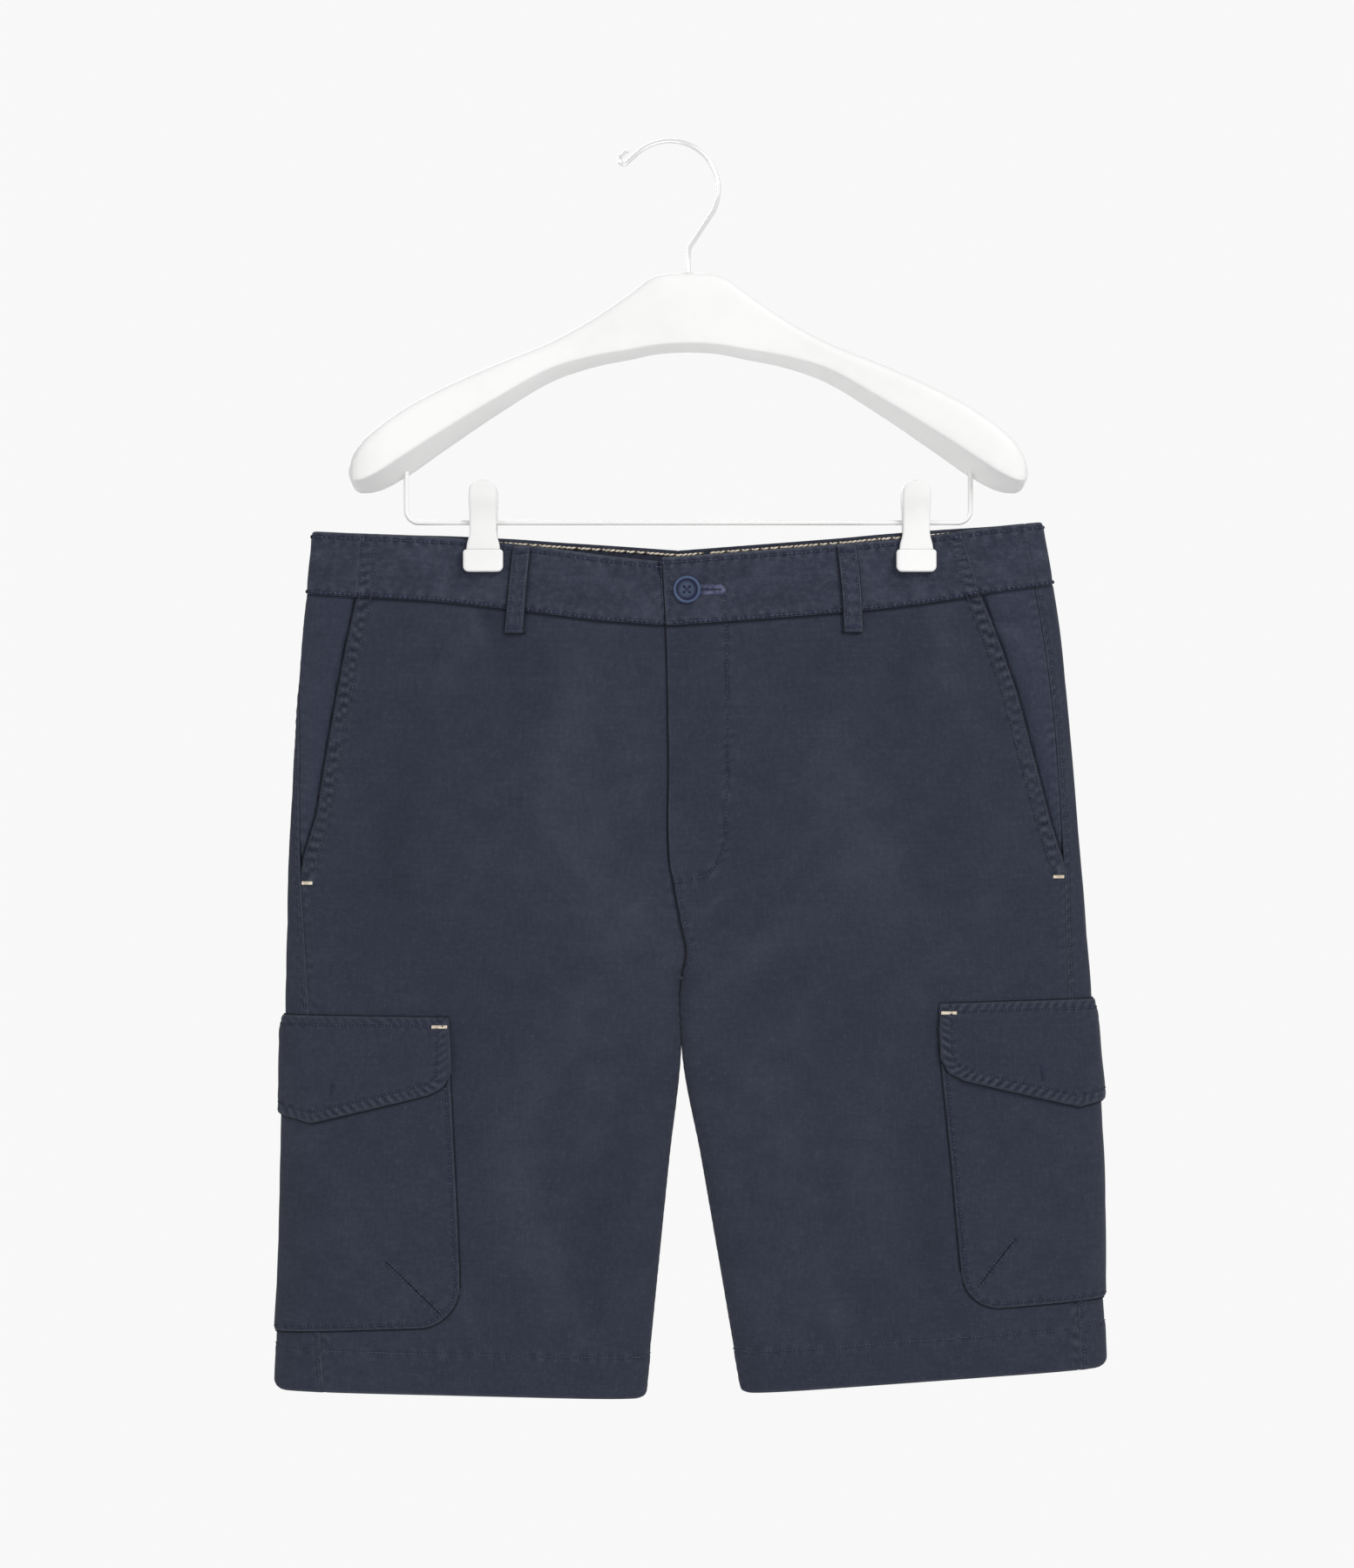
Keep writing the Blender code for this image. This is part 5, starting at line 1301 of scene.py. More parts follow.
# stitches: one tree lays them along every row
def stitchTree():
    tree = bpy.data.node_groups.new("stitches along rows", "GeometryNodeTree")
    socket = tree.interface.new_socket
    socket("Geometry", in_out="OUTPUT", socket_type="NodeSocketGeometry")
    socket("Rows", in_out="INPUT", socket_type="NodeSocketGeometry")
    for name in ("Pitch", "Stitch Length", "Stitch Width", "Stitch Height", "Turn", "Wander", "Hole Length",
                 "Hole Width"):
        socket(name, in_out="INPUT", socket_type="NodeSocketFloat")
    socket("Seed", in_out="INPUT", socket_type="NodeSocketInt")
    for name in ("Thread", "Shadow"):
        socket(name, in_out="INPUT", socket_type="NodeSocketMaterial")
    add, link = tree.nodes.new, tree.links.new
    source, result = add("NodeGroupInput"), add("NodeGroupOutput")

    def node(kind, settings=None, inputs=None):
        made = add(kind)
        for name, value in (settings or {}).items():
            setattr(made, name, value)
        for name, value in (inputs or {}).items():
            if isinstance(value, bpy.types.NodeSocket):
                link(value, made.inputs[name])
            else:
                made.inputs[name].default_value = value
        return made

    rows = node("GeometryNodeMeshToCurve", None, {"Mesh": source.outputs["Rows"]})
    points = node("GeometryNodeCurveToPoints", {"mode": "LENGTH"},
                  {"Curve": rows.outputs[0], "Length": source.outputs["Pitch"]})
    facing = node("GeometryNodeInputNamedAttribute", {"data_type": "FLOAT_VECTOR"}, {"Name": "facing"})
    upright = node("FunctionNodeAxesToRotation", {"primary_axis": "X", "secondary_axis": "Z"},
                   {"Primary Axis": points.outputs["Tangent"], "Secondary Axis": facing.outputs["Attribute"]})
    wander = node("FunctionNodeRandomValue", None, {"Seed": source.outputs["Seed"]})
    low = node("ShaderNodeMath", {"operation": "MULTIPLY"}, {0: source.outputs["Wander"], 1: -1.0})
    link(low.outputs[0], wander.inputs[2])
    link(source.outputs["Wander"], wander.inputs[3])
    turn = node("ShaderNodeMath", {"operation": "ADD"}, {0: source.outputs["Turn"], 1: wander.outputs[1]})
    angle = node("ShaderNodeCombineXYZ", None, {"Z": turn.outputs[0]})
    euler = node("FunctionNodeEulerToRotation", None, {"Euler": angle.outputs[0]})
    seated = node("FunctionNodeRotateRotation", {"rotation_space": "LOCAL"},
                  {"Rotation": upright.outputs[0], "Rotate By": euler.outputs[0]})
    half = node("ShaderNodeMath", {"operation": "MULTIPLY"}, {0: source.outputs["Stitch Length"], 1: 0.5})
    size = node("ShaderNodeCombineXYZ", None, {
        "X": half.outputs[0], "Y": source.outputs["Stitch Width"], "Z": source.outputs["Stitch Height"]})
    grain = node("GeometryNodeMeshUVSphere", None, {"Segments": 5, "Rings": 4, "Radius": 1.0})
    lying = node("GeometryNodeTransform", None,
                 {"Geometry": grain.outputs["Mesh"], "Rotation": (0.0, math.pi / 2, 0.0)})
    stitch = node("GeometryNodeTransform", None, {"Geometry": lying.outputs[0], "Scale": size.outputs[0]})
    laid = node("GeometryNodeInstanceOnPoints", None, {
        "Points": points.outputs["Points"], "Instance": stitch.outputs[0], "Rotation": seated.outputs[0]})
    # a dark flat patch between each two stitches: painted shade in the stitch hole
    halfShadow = node("ShaderNodeMath", {"operation": "MULTIPLY"}, {0: source.outputs["Hole Length"], 1: 0.5})
    shadowSize = node("ShaderNodeCombineXYZ", None, {
        "X": halfShadow.outputs[0], "Y": source.outputs["Hole Width"], "Z": 0.0002})
    shadowPatch = node("GeometryNodeMeshUVSphere", None, {"Segments": 4, "Rings": 3, "Radius": 1.0})
    shadowLying = node("GeometryNodeTransform", None,
                    {"Geometry": shadowPatch.outputs["Mesh"], "Rotation": (0.0, math.pi / 2, 0.0)})
    step = node("ShaderNodeMath", {"operation": "MULTIPLY"}, {0: source.outputs["Pitch"], 1: 0.5})
    onward = node("ShaderNodeCombineXYZ", None, {"X": step.outputs[0], "Z": 0.00006})
    hole = node("GeometryNodeTransform", None, {
        "Geometry": shadowLying.outputs[0], "Scale": shadowSize.outputs[0], "Translation": onward.outputs[0]})
    holes = node("GeometryNodeInstanceOnPoints", None, {
        "Points": points.outputs["Points"], "Instance": hole.outputs[0], "Rotation": upright.outputs[0]})
    both = add("GeometryNodeJoinGeometry")
    for laidOut, finish in ((holes, "Shadow"), (laid, "Thread")):
        real = node("GeometryNodeRealizeInstances", None, {"Geometry": laidOut.outputs[0]})
        soft = node("GeometryNodeSetShadeSmooth", None, {"Geometry": real.outputs[0]})
        finished = node("GeometryNodeSetMaterial", None,
                        {"Geometry": soft.outputs[0], "Material": source.outputs[finish]})
        link(finished.outputs[0], both.inputs[0])
    link(both.outputs[0], result.inputs["Geometry"])
    return tree


def layStitches(name, rows, size, finish, holes, turn, wander, seed):
    spots = np.concatenate([points for points, _ in rows])
    facing = np.concatenate([normals for _, normals in rows])
    edges, first = [], 0
    for points, _ in rows:
        edges += [(first + i, first + i + 1) for i in range(len(points) - 1)]
        first += len(points)
    mesh = bpy.data.meshes.new(name)
    mesh.from_pydata(spots.tolist(), edges, [])
    stored = mesh.attributes.new("facing", "FLOAT_VECTOR", "POINT")
    stored.data.foreach_set("vector", facing.astype(np.float32).ravel())
    made = linked(name, mesh)
    modifier = made.modifiers.new("stitches", "NODES")
    modifier.node_group = threadTree
    values = {
        "Pitch": size["pitch"], "Stitch Length": size["length"], "Stitch Width": size["width"] / 2,
        "Stitch Height": size["height"] / 2, "Hole Length": size["shadowLength"], "Hole Width": size["shadowWidth"] / 2,
        "Turn": math.radians(turn), "Wander": math.radians(wander), "Seed": seed, "Thread": finish, "Shadow": holes,
    }
    for item in threadTree.interface.items_tree:
        if item.name in values:
            modifier[item.identifier] = values[item.name]
    bpy.context.view_layer.update()
    graph = bpy.context.evaluated_depsgraph_get()
    plain = bpy.data.meshes.new_from_object(made.evaluated_get(graph))
    made.modifiers.remove(modifier)
    made.data = plain
    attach(made, "root")
    print(name, len(plain.polygons), "faces")
    return made


threadTree = stitchTree()
# each row's second finish colours the dark patches between its stitches: painted shade
threadUse = (  # name, rows, size, finishes of thread and holes, turn and wander in degrees
    ("softStitches", "soft", "soft", navyThread, softStitchShadow, 0, 8),
    ("seamStitches", "fine", "fine", navyThread, stitchShadow, 0, 9),
    ("bandStitches", "bold", "bold", navyThread, stitchShadow, 0, 8),
    ("chainStitches", "chain", "chain", creamThread, chainShadow, 14, 5),
    ("creamTacks", "creamTack", "tack", creamThread, stitchShadow, 84, 6),
    ("navyTacks", "navyTack", "tack", darkThread, stitchShadow, 84, 6),
    ("buttonholeStitches", "hole", "hole", holeThread, stitchShadow, 90, 12),
    ("edgeCreases", "contactShadow", "contactShadow", contactShadowTone, contactShadowTone, 0, 0),
)
for number, (name, rows, size, finish, holes, turn, wander) in enumerate(threadUse):
    layStitches(name, threadRows[rows], threads[size], finish, holes, turn, wander, 40 + number)
print("stitches ready")


# hard parts: shapes in metres
def addMesh(name, verts, faces, finish, sharp):
    mesh = bpy.data.meshes.new(name)
    mesh.from_pydata([tuple(v) for v in verts], [], faces)
    closeMesh(mesh, 1e-7)
    mesh.set_sharp_from_angle(angle=math.radians(sharp))
    mesh.materials.append(finish)
    return linked(name, mesh)


def loft(name, rings, finish, sharp):
    # a closed body through rings of points, with both ends filled
    count = len(rings[0])
    verts = [Vector(p) * mm for ring in rings for p in ring]
    faces = []
    for r in range(len(rings) - 1):
        for i in range(count):
            j = (i + 1) % count
            faces.append((r * count + i, r * count + j, (r + 1) * count + j, (r + 1) * count + i))
    faces.append(tuple(range(count)))
    faces.append(tuple(range((len(rings) - 1) * count, len(rings) * count)))
    return addMesh(name, verts, faces, finish, sharp)


def circle(sides):
    return [2 * math.pi * k / sides for k in range(sides)]


def cornerPull(radius, edge):
    # how far a rounded corner draws in, this near to the edge
    return radius - math.sqrt(max(0.0, radius**2 - max(0.0, radius - edge) ** 2))


def tube(name, route, radius, finish, sides=20):
    # a round wire along a route in one upright plane or round a coil
    route = [Vector(p) for p in route]
    rings, aside = [], Vector((0, 1, 0))
    last = len(route) - 1
    for i, spot in enumerate(route):
        ahead = (route[min(i + 1, last)] - route[max(i - 1, 0)]).normalized()
        aside = (aside - ahead * aside.dot(ahead)).normalized()
        other = ahead.cross(aside)
        steps = [(0.0, 1.0)]
        if i in (0, last):
            steps = [(math.sin(a), math.cos(a)) for a in np.radians((0, 30, 55, 75, 87))]
            if i == 0:
                steps = [(-out, size) for out, size in steps[::-1]]
        for out, size in steps:
            centre = spot + ahead * out * radius
            rings.append([centre + (aside * math.cos(t) + other * math.sin(t)) * radius * size
                          for t in circle(sides)])
    return loft(name, rings, finish, 60)


def cutCorners(ring, times):
    # rounds a closed ring of points
    ring = np.asarray(ring, float)
    for _ in range(times):
        after = np.roll(ring, -1, axis=0)
        ring = np.stack([ring * 0.75 + after * 0.25, ring * 0.25 + after * 0.75], axis=1).reshape(-1, ring.shape[1])
    return ring


def rideAs(made, node):
    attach(made, "root")
    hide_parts(node)
    return made


def paintFinish(name, colour, roughness, peel, coat=0.25):
    made = Finish(name)
    coordinates = made.place()
    broad, fine = made.noise(coordinates, 14.0, 3.0), made.noise(coordinates, 420.0, 2.0)
    dust = made.noise(coordinates, 70.0, 4.0, 0.6)
    shade = tuple(value * 0.93 for value in colour)
    made.feed(
        Base_Color=made.mix((broad * 0.7 + dust * 0.3).ramp(0.35, 0.75), colour, shade),
        Roughness=roughness + dust * 0.12, Normal=made.relief(fine + broad * 2.0, peel, 0.5),
        Coat_Weight=coat, Coat_Roughness=0.2, Specular_IOR_Level=0.4,
    )
    return made.material


def chromeFinish(name):
    made = Finish(name)
    draw = made.noise(made.place(scale=(1, 1, 0.15)), 900.0, 2.0)
    smudge = made.noise(made.place(), 60.0, 3.0)
    made.feed(
        Base_Color=made.mix(smudge, (0.70, 0.70, 0.71), (0.80, 0.80, 0.80)), Metallic=1.0,
        Roughness=0.20 + smudge.ramp(0.45, 0.75) * 0.12, Normal=made.relief(draw, 0.00003, 0.4),
    )
    return made.material


def buttonFinish(name, centre):
    # a blue dish that darkens into a painted shade ring at the foot of the rim, inside a rim painted paler as a
    # highlight
    made = Finish(name)
    fromCentre = made.node("ShaderNodeVectorMath", {"operation": "SUBTRACT"}, {0: made.place(), 1: centre})
    flatten = made.node("ShaderNodeVectorMath", {"operation": "MULTIPLY"}, {0: fromCentre, 1: (1, 0, 1)})
    radius = made.node("ShaderNodeVectorMath", {"operation": "LENGTH"}, {0: flatten}, output="Value")
    swirl = made.noise(made.place(scale=(1, 1, 1.6)), 150.0, 3.0, 0.5)
    dish = made.mix(radius.ramp(0.0036, 0.0056), (0.030, 0.046, 0.084), (0.006, 0.010, 0.034))
    # the paler rim is a painted highlight
    rim = radius.ramp(0.0064, 0.0076) * 0.85 + (swirl - 0.5) * 0.2
    made.feed(
        Base_Color=made.mix(rim.clamped(), dish, (0.052, 0.078, 0.150)),
        Roughness=0.40 + swirl * 0.12, Coat_Weight=0.08, Coat_Roughness=0.3, Specular_IOR_Level=0.22,
        Normal=made.relief(swirl, 0.00008, 0.4),
    )
    return made.material


white = paintFinish("white lacquer", (0.735, 0.735, 0.73), 0.5, 0.00006, 0.05)
barWhite = paintFinish("white bar coating", (0.75, 0.75, 0.745), 0.45, 0.00004, 0.05)
clipWhite = paintFinish("white clip plastic", (0.735, 0.735, 0.73), 0.45, 0.00003, 0.05)
padWhite = paintFinish("soft white pad", (0.745, 0.745, 0.74), 0.55, 0.00010, 0.0)
chrome = chromeFinish("chromed steel")
blueButton = buttonFinish("blue button", (0.0073, 0.0, -0.282))

# button
button = {
    "diameter": 17.4, "thickness": 3.0, "rim": 1.9, "x": 7.3, "z": -282.0, "hole": 0.85, "spacing": 1.75,
    "segments": 56, "thread": 0.22,
}


def makeButton():
    radius, rim, thick = button["diameter"] / 2, button["rim"], button["thickness"]
    profile = [
        (0.0, 1.45), (radius - rim - 2.2, 1.5), (radius - rim - 0.9, 1.75), (radius - rim - 0.25, thick - 0.5),
        (radius - rim + 0.2, thick - 0.12), (radius - rim / 2, thick), (radius - 0.55, thick - 0.2),
        (radius - 0.12, thick - 0.75), (radius, thick / 2), (radius - 0.3, 0.7), (radius - 1.2, 0.2), (0.0, 0.0),
    ]
    bm = bmesh.new()
    chain = [bm.verts.new(Vector((x, 0, z)) * mm) for x, z in profile]
    edges = [bm.edges.new(pair) for pair in zip(chain, chain[1:])]
    bmesh.ops.spin(bm, geom=chain + edges, cent=(0, 0, 0), axis=(0, 0, 1), angle=2 * math.pi,
                   steps=button["segments"], use_duplicate=False)
    bmesh.ops.remove_doubles(bm, verts=bm.verts, dist=1e-6)
    bmesh.ops.recalc_face_normals(bm, faces=bm.faces)
    disc = bpy.data.meshes.new("button disc")
    bm.to_mesh(disc)
    bm.free()
    disc.materials.append(blueButton)
    made = linked("buttonDisc", disc)
    drills = bmesh.new()
    for x in (-1, 1):
        for y in (-1, 1):
            spot = Vector((x * button["spacing"], y * button["spacing"], 1.5)) * mm
            bmesh.ops.create_cone(drills, cap_ends=True, segments=20, radius1=button["hole"] * mm,
                                  radius2=button["hole"] * mm, depth=8 * mm, matrix=Matrix.Translation(spot))
    drillMesh = bpy.data.meshes.new("button drills")
    drills.to_mesh(drillMesh)
    drills.free()
    drill = linked("buttonDrills", drillMesh)
    cut = made.modifiers.new("holes", "BOOLEAN")
    cut.operation, cut.object, cut.solver = "DIFFERENCE", drill, "EXACT"
    bpy.context.view_layer.update()
    plain = bpy.data.meshes.new_from_object(made.evaluated_get(bpy.context.evaluated_depsgraph_get()))
    made.modifiers.remove(cut)
    bpy.data.objects.remove(drill)
    made.data = plain
    low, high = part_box("button")
    seat = Matrix.Translation(Vector((button["x"] * mm, high.y, button["z"] * mm)))
    plain.transform(seat @ Matrix.Rotation(math.radians(90), 4, "X"))
    plain.shade_smooth()
    plain.set_sharp_from_angle(angle=math.radians(32))
    return rideAs(made, "button")


makeButton()
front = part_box("button")[1].y / mm - 1.5
for number, (first, last) in enumerate((((-1, -1), (1, 1)), ((-1, 1), (1, -1)))):
    for strand in (-0.3, 0.0, 0.3):
        (x0, z0), (x1, z1) = first, last
        lean = strand * (1 if number else -1)
        route = []
        for share in np.linspace(0, 1, 9):
            x = button["x"] + button["spacing"] * (x0 + (x1 - x0) * share) + strand * 0.7
            z = button["z"] + button["spacing"] * (z0 + (z1 - z0) * share) + lean * 0.7
            out = 0.45 * math.sin(math.pi * share) ** 0.5 + 0.18 * number - 0.35
            route.append((x, front - out, z))
        made = tube(f"buttonThread_{number}_{round(strand * 10) + 3}", route, button["thread"], darkThread, 8)
        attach(made, "root")
print("button ready")

# hanger
hanger = {"x": 8.25, "forward": 10.0, "stations": 130, "clipTop": -213.4, "padWidth": 25.2}
hook = {
    "neck": -82.0, "stem": -65.0, "wire": 1.5, "radius": 30.75, "centre": (-3.5, -29.0), "first": -27, "last": 132,
    "straight": 9.0, "tip": 2.7,
}
bar = {"height": -239.3, "bend": 8.0, "reach": 178.0, "top": -192.0, "wire": 1.6}
clips = {"wall": 2.6, "swell": 0.15, "coils": 9, "coilPitch": 1.2, "coilRadius": 3.85, "coilWire": 0.42}
# distance from the middle, heights of the top, of the front's bottom edge and of the back's, and the depth
arm = (
    (0.0, -82.0, -126.8, -131.6, 15.0), (15.0, -82.4, -127.4, -132.3, 15.0), (23.0, -84.5, -128.4, -133.4, 15.0),
    (34.0, -92.7, -130.4, -135.8, 15.2), (61.0, -111.2, -135.4, -141.4, 16.5), (84.0, -124.0, -142.0, -149.2, 18.5),
    (121.0, -139.6, -162.5, -171.2, 22.5), (155.0, -155.2, -183.6, -194.4, 26.5),
    (180.0, -169.2, -200.2, -211.6, 30.0), (196.0, -181.2, -210.6, -219.6, 31.0),
    (203.0, -187.6, -213.8, -221.0, 29.0), (208.0, -194.0, -214.6, -220.6, 24.5),
    (211.0, -199.6, -213.6, -217.8, 18.5), (212.5, -205.0, -211.2, -213.6, 9.0),
)


def armRing(out, top, frontBottom, backBottom, deep):
    forward = -hanger["forward"] * (out / arm[-1][0]) ** 2
    front, back = forward - deep / 2, forward + deep / 2
    height = top - frontBottom
    crown, lower = min(5.0, height * 0.32), min(1.6, height * 0.1)
    return [
        (forward - deep * 0.16, top), (front + deep * 0.1, top - crown * 0.25), (front, top - crown),
        (front, (top + frontBottom) / 2), (front, frontBottom + lower),
        (front + deep * 0.06, frontBottom - lower * 0.2), (back - deep * 0.1, backBottom),
        (back, backBottom + lower), (back, (top + backBottom) / 2), (back, top - crown),
        (back - deep * 0.1, top - crown * 0.25), (forward + deep * 0.16, top),
    ]


def makeHangerBody():
    outs = [row[0] for row in arm]
    last = outs[-1]
    # the stations crowd together at the ends, where the arm rounds off
    even = np.sin(np.linspace(0, math.pi / 2, hanger["stations"] // 2)) * last
    rings = []
    for sign in (-1, 1):
        side = []
        for out in (even[::-1] if sign < 0 else even[1:]):
            sizes = [float(curveThrough(out, outs, [row[k] for row in arm])) for k in range(1, 5)]
            ring = cutCorners(armRing(out, *sizes), 2)
            side.append([(hanger["x"] + sign * out, y, z) for y, z in ring])
        tip = side[0] if sign < 0 else side[-1]
        centre = np.mean(np.array(tip), axis=0)
        caps = []
        for reach, size in ((0.35, 0.85), (0.6, 0.6), (0.75, 0.3)):
            shrunk = centre + (np.array(tip) - centre) * size
            caps.append([(p[0] + sign * reach, p[1], p[2]) for p in shrunk])
        rings += caps[::-1] + side if sign < 0 else side + caps
    return rideAs(loft("hangerBody", rings, white, 42), "hanger_body")


def arc(centre, radius, first, last, steps):
    angles = np.radians(np.linspace(first, last, steps))
    return [(centre[0] + radius * math.cos(a), 0.0, centre[1] + radius * math.sin(a)) for a in angles]


def hookRoute():
    neck, stem, x = hook["neck"], hook["stem"], hanger["x"]
    route = [(x, 0.0, z) for z in (neck - 4, neck, neck + 5, stem - 6)]
    route += [(x + 0.4, 0.0, stem - 2), (x + 1.4, 0.0, stem + 0.6), (x + 3.4, 0.0, stem + 3.4)]
    route += arc(hook["centre"], hook["radius"], hook["first"], hook["last"], 70)
    bend = math.radians(hook["last"] + 90)
    ahead = Vector((math.cos(bend), 0, math.sin(bend)))
    aside = Vector((ahead.z, 0, -ahead.x))
    start, turn, straight = Vector(route[-1]), hook["tip"], hook["straight"]
    route += [tuple(start + ahead * straight * share) for share in (0.25, 0.5, 0.75, 1)]
    centre = start + ahead * straight + aside * turn
    for angle in np.radians(np.linspace(12, 180, 14)):
        route.append(tuple(centre - aside * turn * math.cos(angle) + ahead * turn * math.sin(angle)))
    return route + [tuple(centre + aside * turn - ahead * back) for back in (1.2, 2.5, 3.8, 5.0)]


def makeHook():
    made = tube("hangerHook", hookRoute(), hook["wire"], chrome, 28)
    rideAs(made, "hanger_hook")
    # the low collar that the stem stands in
    steps = ((-0.4, 3.4), (0.0, 3.7), (0.3, 3.7), (0.6, 3.2), (0.8, 2.4))
    rings = []
    for up, radius in steps:
        rings.append([(hanger["x"] + radius * math.cos(t), radius * math.sin(t), hook["neck"] + up)
                      for t in circle(32)])
    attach(loft("hookCollar", rings, white, 40), "root")


def makeBar():
    bend, low, reach = bar["bend"], bar["height"], bar["reach"]
    route = []
    for sign in (-1, 1):
        side = [(hanger["x"] + sign * reach, 0.0, z) for z in np.linspace(bar["top"], low + bend + 1, 8)]
        for angle in np.radians(np.linspace(0, 90, 14)):
            x = hanger["x"] + sign * (reach - bend * (1 - math.cos(angle)))
            side.append((x, 0.0, low + bend * (1 - math.sin(angle))))
        route += side if sign < 0 else side[::-1]
    return rideAs(tube("trouserBar", route, bar["wire"], barWhite, 20), "trouser_bar")


def makeClip(side):
    x, axle = clipX[side], bar["height"]
    # height, how far the jaw's inside stands from the middle, and half the width
    jaw = (
        (hanger["clipTop"], 11.5, 3.0), (-215.0, 11.1, 6.2), (-217.9, 10.4, 8.2), (-222.2, 9.4, 8.8),
        (-233.3, 5.6, 8.6), (axle, 4.3, 8.6), (-245.3, 4.1, 8.6), (-248.5, 4.0, 9.0), (-252.8, 3.9, 10.2),
        (padTop + 0.1, 3.9, 10.7),
    )
    heights = [row[0] for row in jaw]
    fine = np.concatenate([np.linspace(hanger["clipTop"], -218, 9), np.linspace(-219.5, padTop + 0.2, 30)])
    for face, sign in (("front", -1), ("back", 1)):
        rings = []
        for z in fine:
            inside, half = (float(curveThrough(z, heights[::-1], [r[k] for r in jaw[::-1]])) for k in (1, 2))
            near, far = sign * inside, sign * (inside + clips["wall"])
            mid, soft = sign * (inside + 1.3), sign * (inside + 2.2)
            # the face swells a little between its two edges
            trough = sign * (inside + clips["wall"] + clips["swell"])
            ring = [(-half + 0.4, near), (-half, mid), (-half + 0.35, soft), (-half + 1.1, far),
                    (-half + 2.4, far), (-half + 3.3, trough), (half - 3.3, trough), (half - 2.4, far),
                    (half - 1.1, far), (half - 0.35, soft), (half, mid), (half - 0.4, near)]
            rings.append([(x + dx, y, z) for dx, y in ring])
        rideAs(loft(f"clipJaw_{side}_{face}", rings, clipWhite, 50), f"clip_{side}_{face}_jaw")
        low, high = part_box(f"clip_{side}_{face}_pad")
        rings = []
        heightRows = 0.5 - 0.5 * np.cos(np.linspace(0, math.pi, 40))
        for share in heightRows:
            z = (high.z + (low.z - high.z) * share) / mm
            edge = min(share, 1 - share) * (high.z - low.z) / mm
            # the corners are rounder at the foot than at the head
            narrow = cornerPull(3.6 if share > 0.5 else 2.0, edge)
            pull = cornerPull(1.2 if share > 0.5 else 0.3, edge)
            ring = []
            for angle in np.linspace(0, 2 * math.pi, 48, endpoint=False):
                c, s = math.cos(angle), math.sin(angle)
                wide = (hanger["padWidth"] / 2 - narrow) * math.copysign(abs(c) ** 0.28, c)
                deep = ((high.y - low.y) / mm / 2 - pull) * math.copysign(abs(s) ** 0.45, s)
                ring.append((x + wide, (low.y + high.y) / 2 / mm + deep, z))
            rings.append(ring)
        rideAs(loft(f"clipPad_{side}_{face}", rings, padWhite, 50), f"clip_{side}_{face}_pad")
    rings = []
    for along, radius in ((-8, 2.0), (-8, 3.4), (-7.6, 3.6), (7.6, 3.6), (8, 3.4), (8, 2.0)):
        rings.append([(x + along, radius * math.cos(t), axle + radius * math.sin(t)) for t in circle(28)])
    rideAs(loft(f"clipBarrel_{side}", rings, clipWhite, 40), f"clip_{side}_barrel")
    coil = []
    coils, pitch, reach = clips["coils"], clips["coilPitch"], clips["coilRadius"]
    for turn in np.linspace(0, 2 * math.pi * coils, coils * 18):
        along = x - coils * pitch / 2 + turn / (2 * math.pi) * pitch
        coil.append((along, reach * math.cos(turn), axle + reach * math.sin(turn)))
    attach(tube(f"clipSpring_{side}", coil, clips["coilWire"], chrome, 8), "root")


makeHangerBody()
makeHook()
makeBar()
for side in halves:
    makeClip(side)
print("hanger ready")

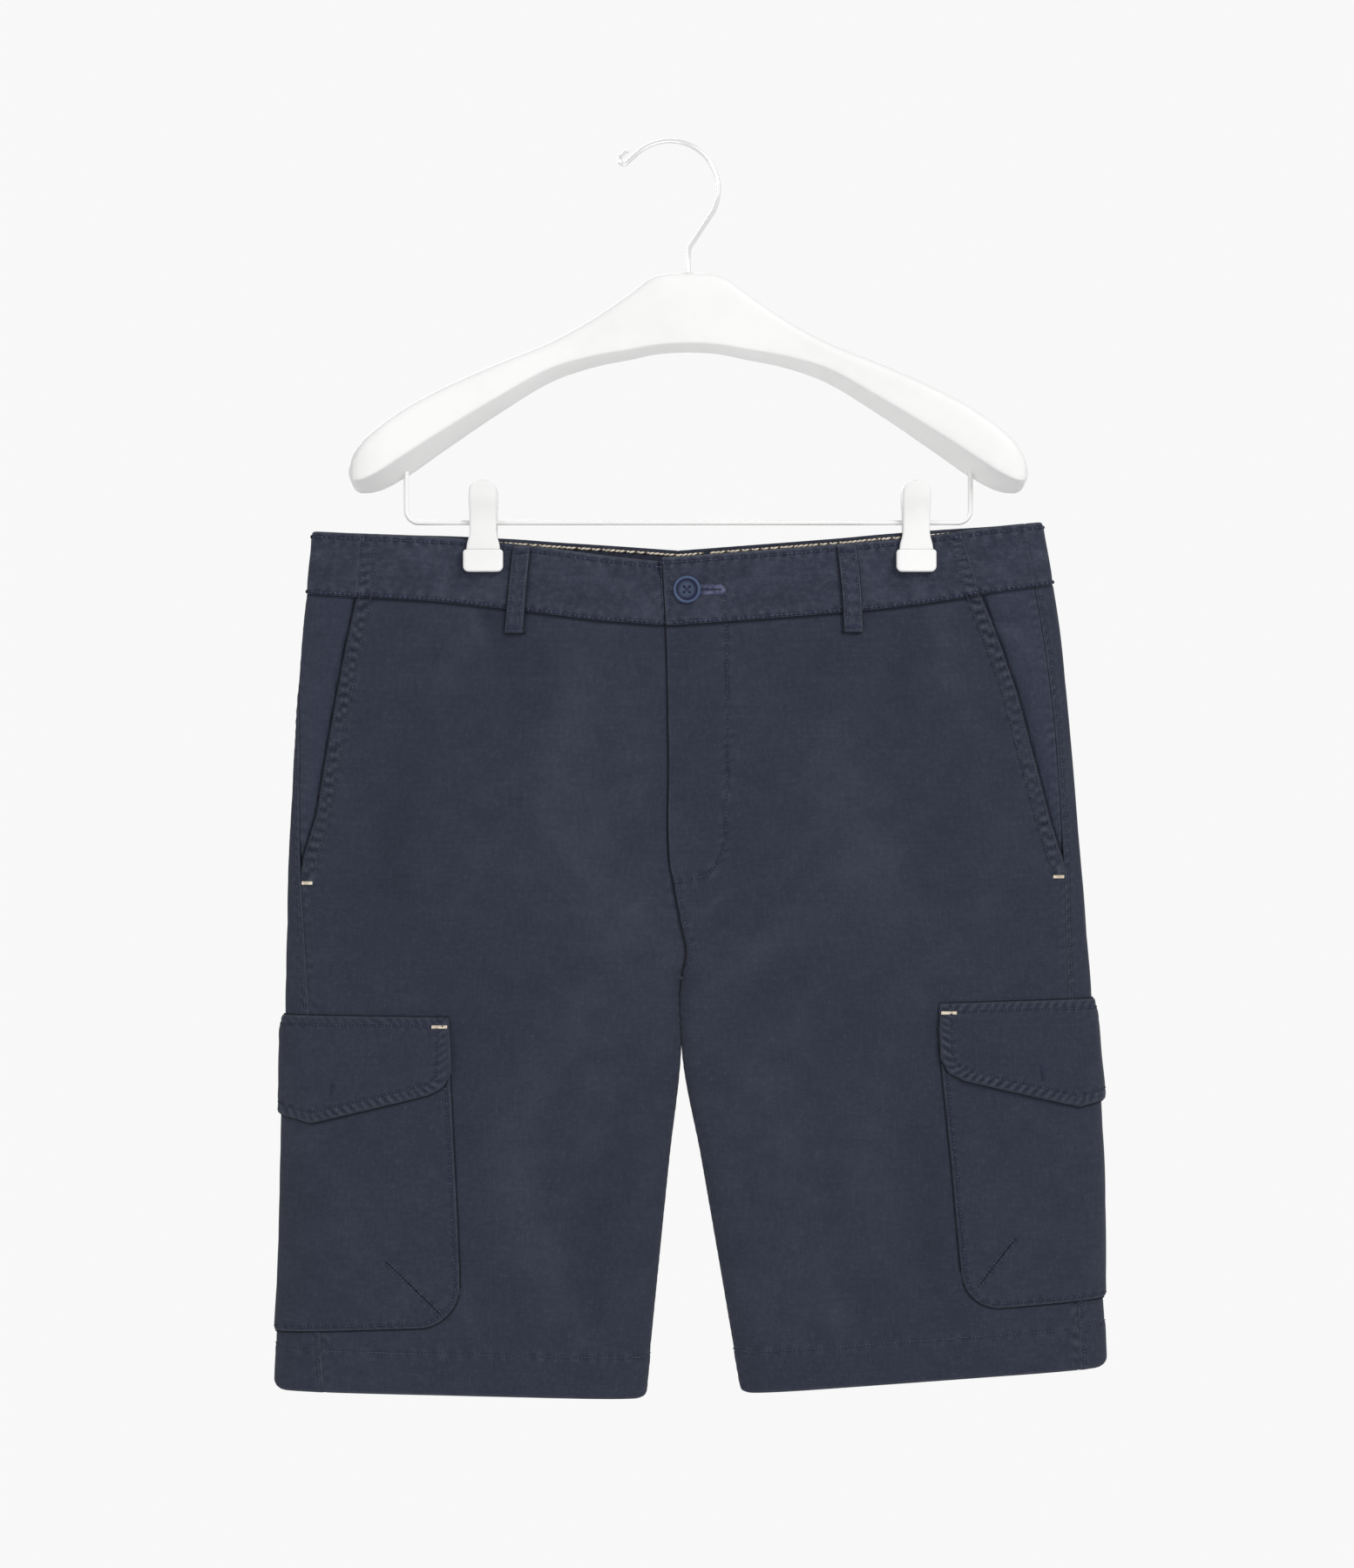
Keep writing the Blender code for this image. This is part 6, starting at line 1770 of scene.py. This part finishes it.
# floor, light and camera
studio = {
    "backdrop": 0.94, "ambient": 0.60, "floor": -1.3, "floorRadius": 1.6,
    "camera": (0.0011, -2.2, -0.40425), "lens": 80.0,
}
lamps = (  # name, place, what it points at, size and power
    ("key", (1.5, -2.0, 1.3), (0, 0, -0.5), 1.3, 50.0),
    ("fill", (-2.0, -1.8, -0.1), (0, 0, -0.5), 1.6, 13.0),
    ("under", (0.3, -1.7, -1.15), (0, 0, -0.2), 1.2, 8.0),
    ("rim", (-0.6, 2.2, 0.9), (0, 0, -0.4), 1.4, 42.0),
)


def makeFloor():
    bm = bmesh.new()
    bmesh.ops.create_circle(bm, cap_ends=True, segments=96, radius=studio["floorRadius"])
    mesh = bpy.data.meshes.new("floor")
    bm.to_mesh(mesh)
    bm.free()
    mesh.transform(Matrix.Translation((0, 0, studio["floor"])))
    pale = Finish("pale floor")
    speck = pale.noise(pale.place(), 30.0, 3.0)
    pale.feed(Base_Color=pale.mix(speck, (0.80, 0.80, 0.80), (0.84, 0.84, 0.84)), Roughness=0.9)
    mesh.materials.append(pale.material)
    linked("floor", mesh)


def makeWorld():
    world = bpy.data.worlds.new("studio")
    bpy.context.scene.world = world
    world.use_nodes = True
    tree = world.node_tree
    ground = tree.nodes["Background"]
    ray = tree.nodes.new("ShaderNodeLightPath")
    seen = tree.nodes.new("ShaderNodeMath")
    seen.operation = "MAXIMUM"
    tree.links.new(ray.outputs["Is Camera Ray"], seen.inputs[0])
    tree.links.new(ray.outputs["Is Glossy Ray"], seen.inputs[1])
    strength = tree.nodes.new("ShaderNodeMapRange")
    strength.inputs["To Min"].default_value = studio["ambient"]
    strength.inputs["To Max"].default_value = studio["backdrop"]
    tree.links.new(seen.outputs[0], strength.inputs["Value"])
    tree.links.new(strength.outputs["Result"], ground.inputs["Strength"])
    ground.inputs["Color"].default_value = (1, 1, 1, 1)


def softLight(name, place, target, size, power):
    light = bpy.data.lights.new(name, "AREA")
    light.shape, light.size, light.energy = "DISK", size, power
    made = linked(name, light)
    made.location = place
    made.rotation_euler = (Vector(target) - Vector(place)).to_track_quat("-Z", "Y").to_euler()


makeFloor()
makeWorld()
for lamp in lamps:
    softLight(*lamp)
lens = bpy.data.cameras.new("camera")
lens.lens, lens.sensor_width, lens.sensor_fit = studio["lens"], 36.0, "VERTICAL"
lens.sensor_height = 36.0
camera = linked("camera", lens)
camera.location = studio["camera"]
camera.rotation_euler = (math.pi / 2, 0, 0)
bpy.context.scene.camera = camera
bpy.context.scene.view_settings.view_transform = "Standard"
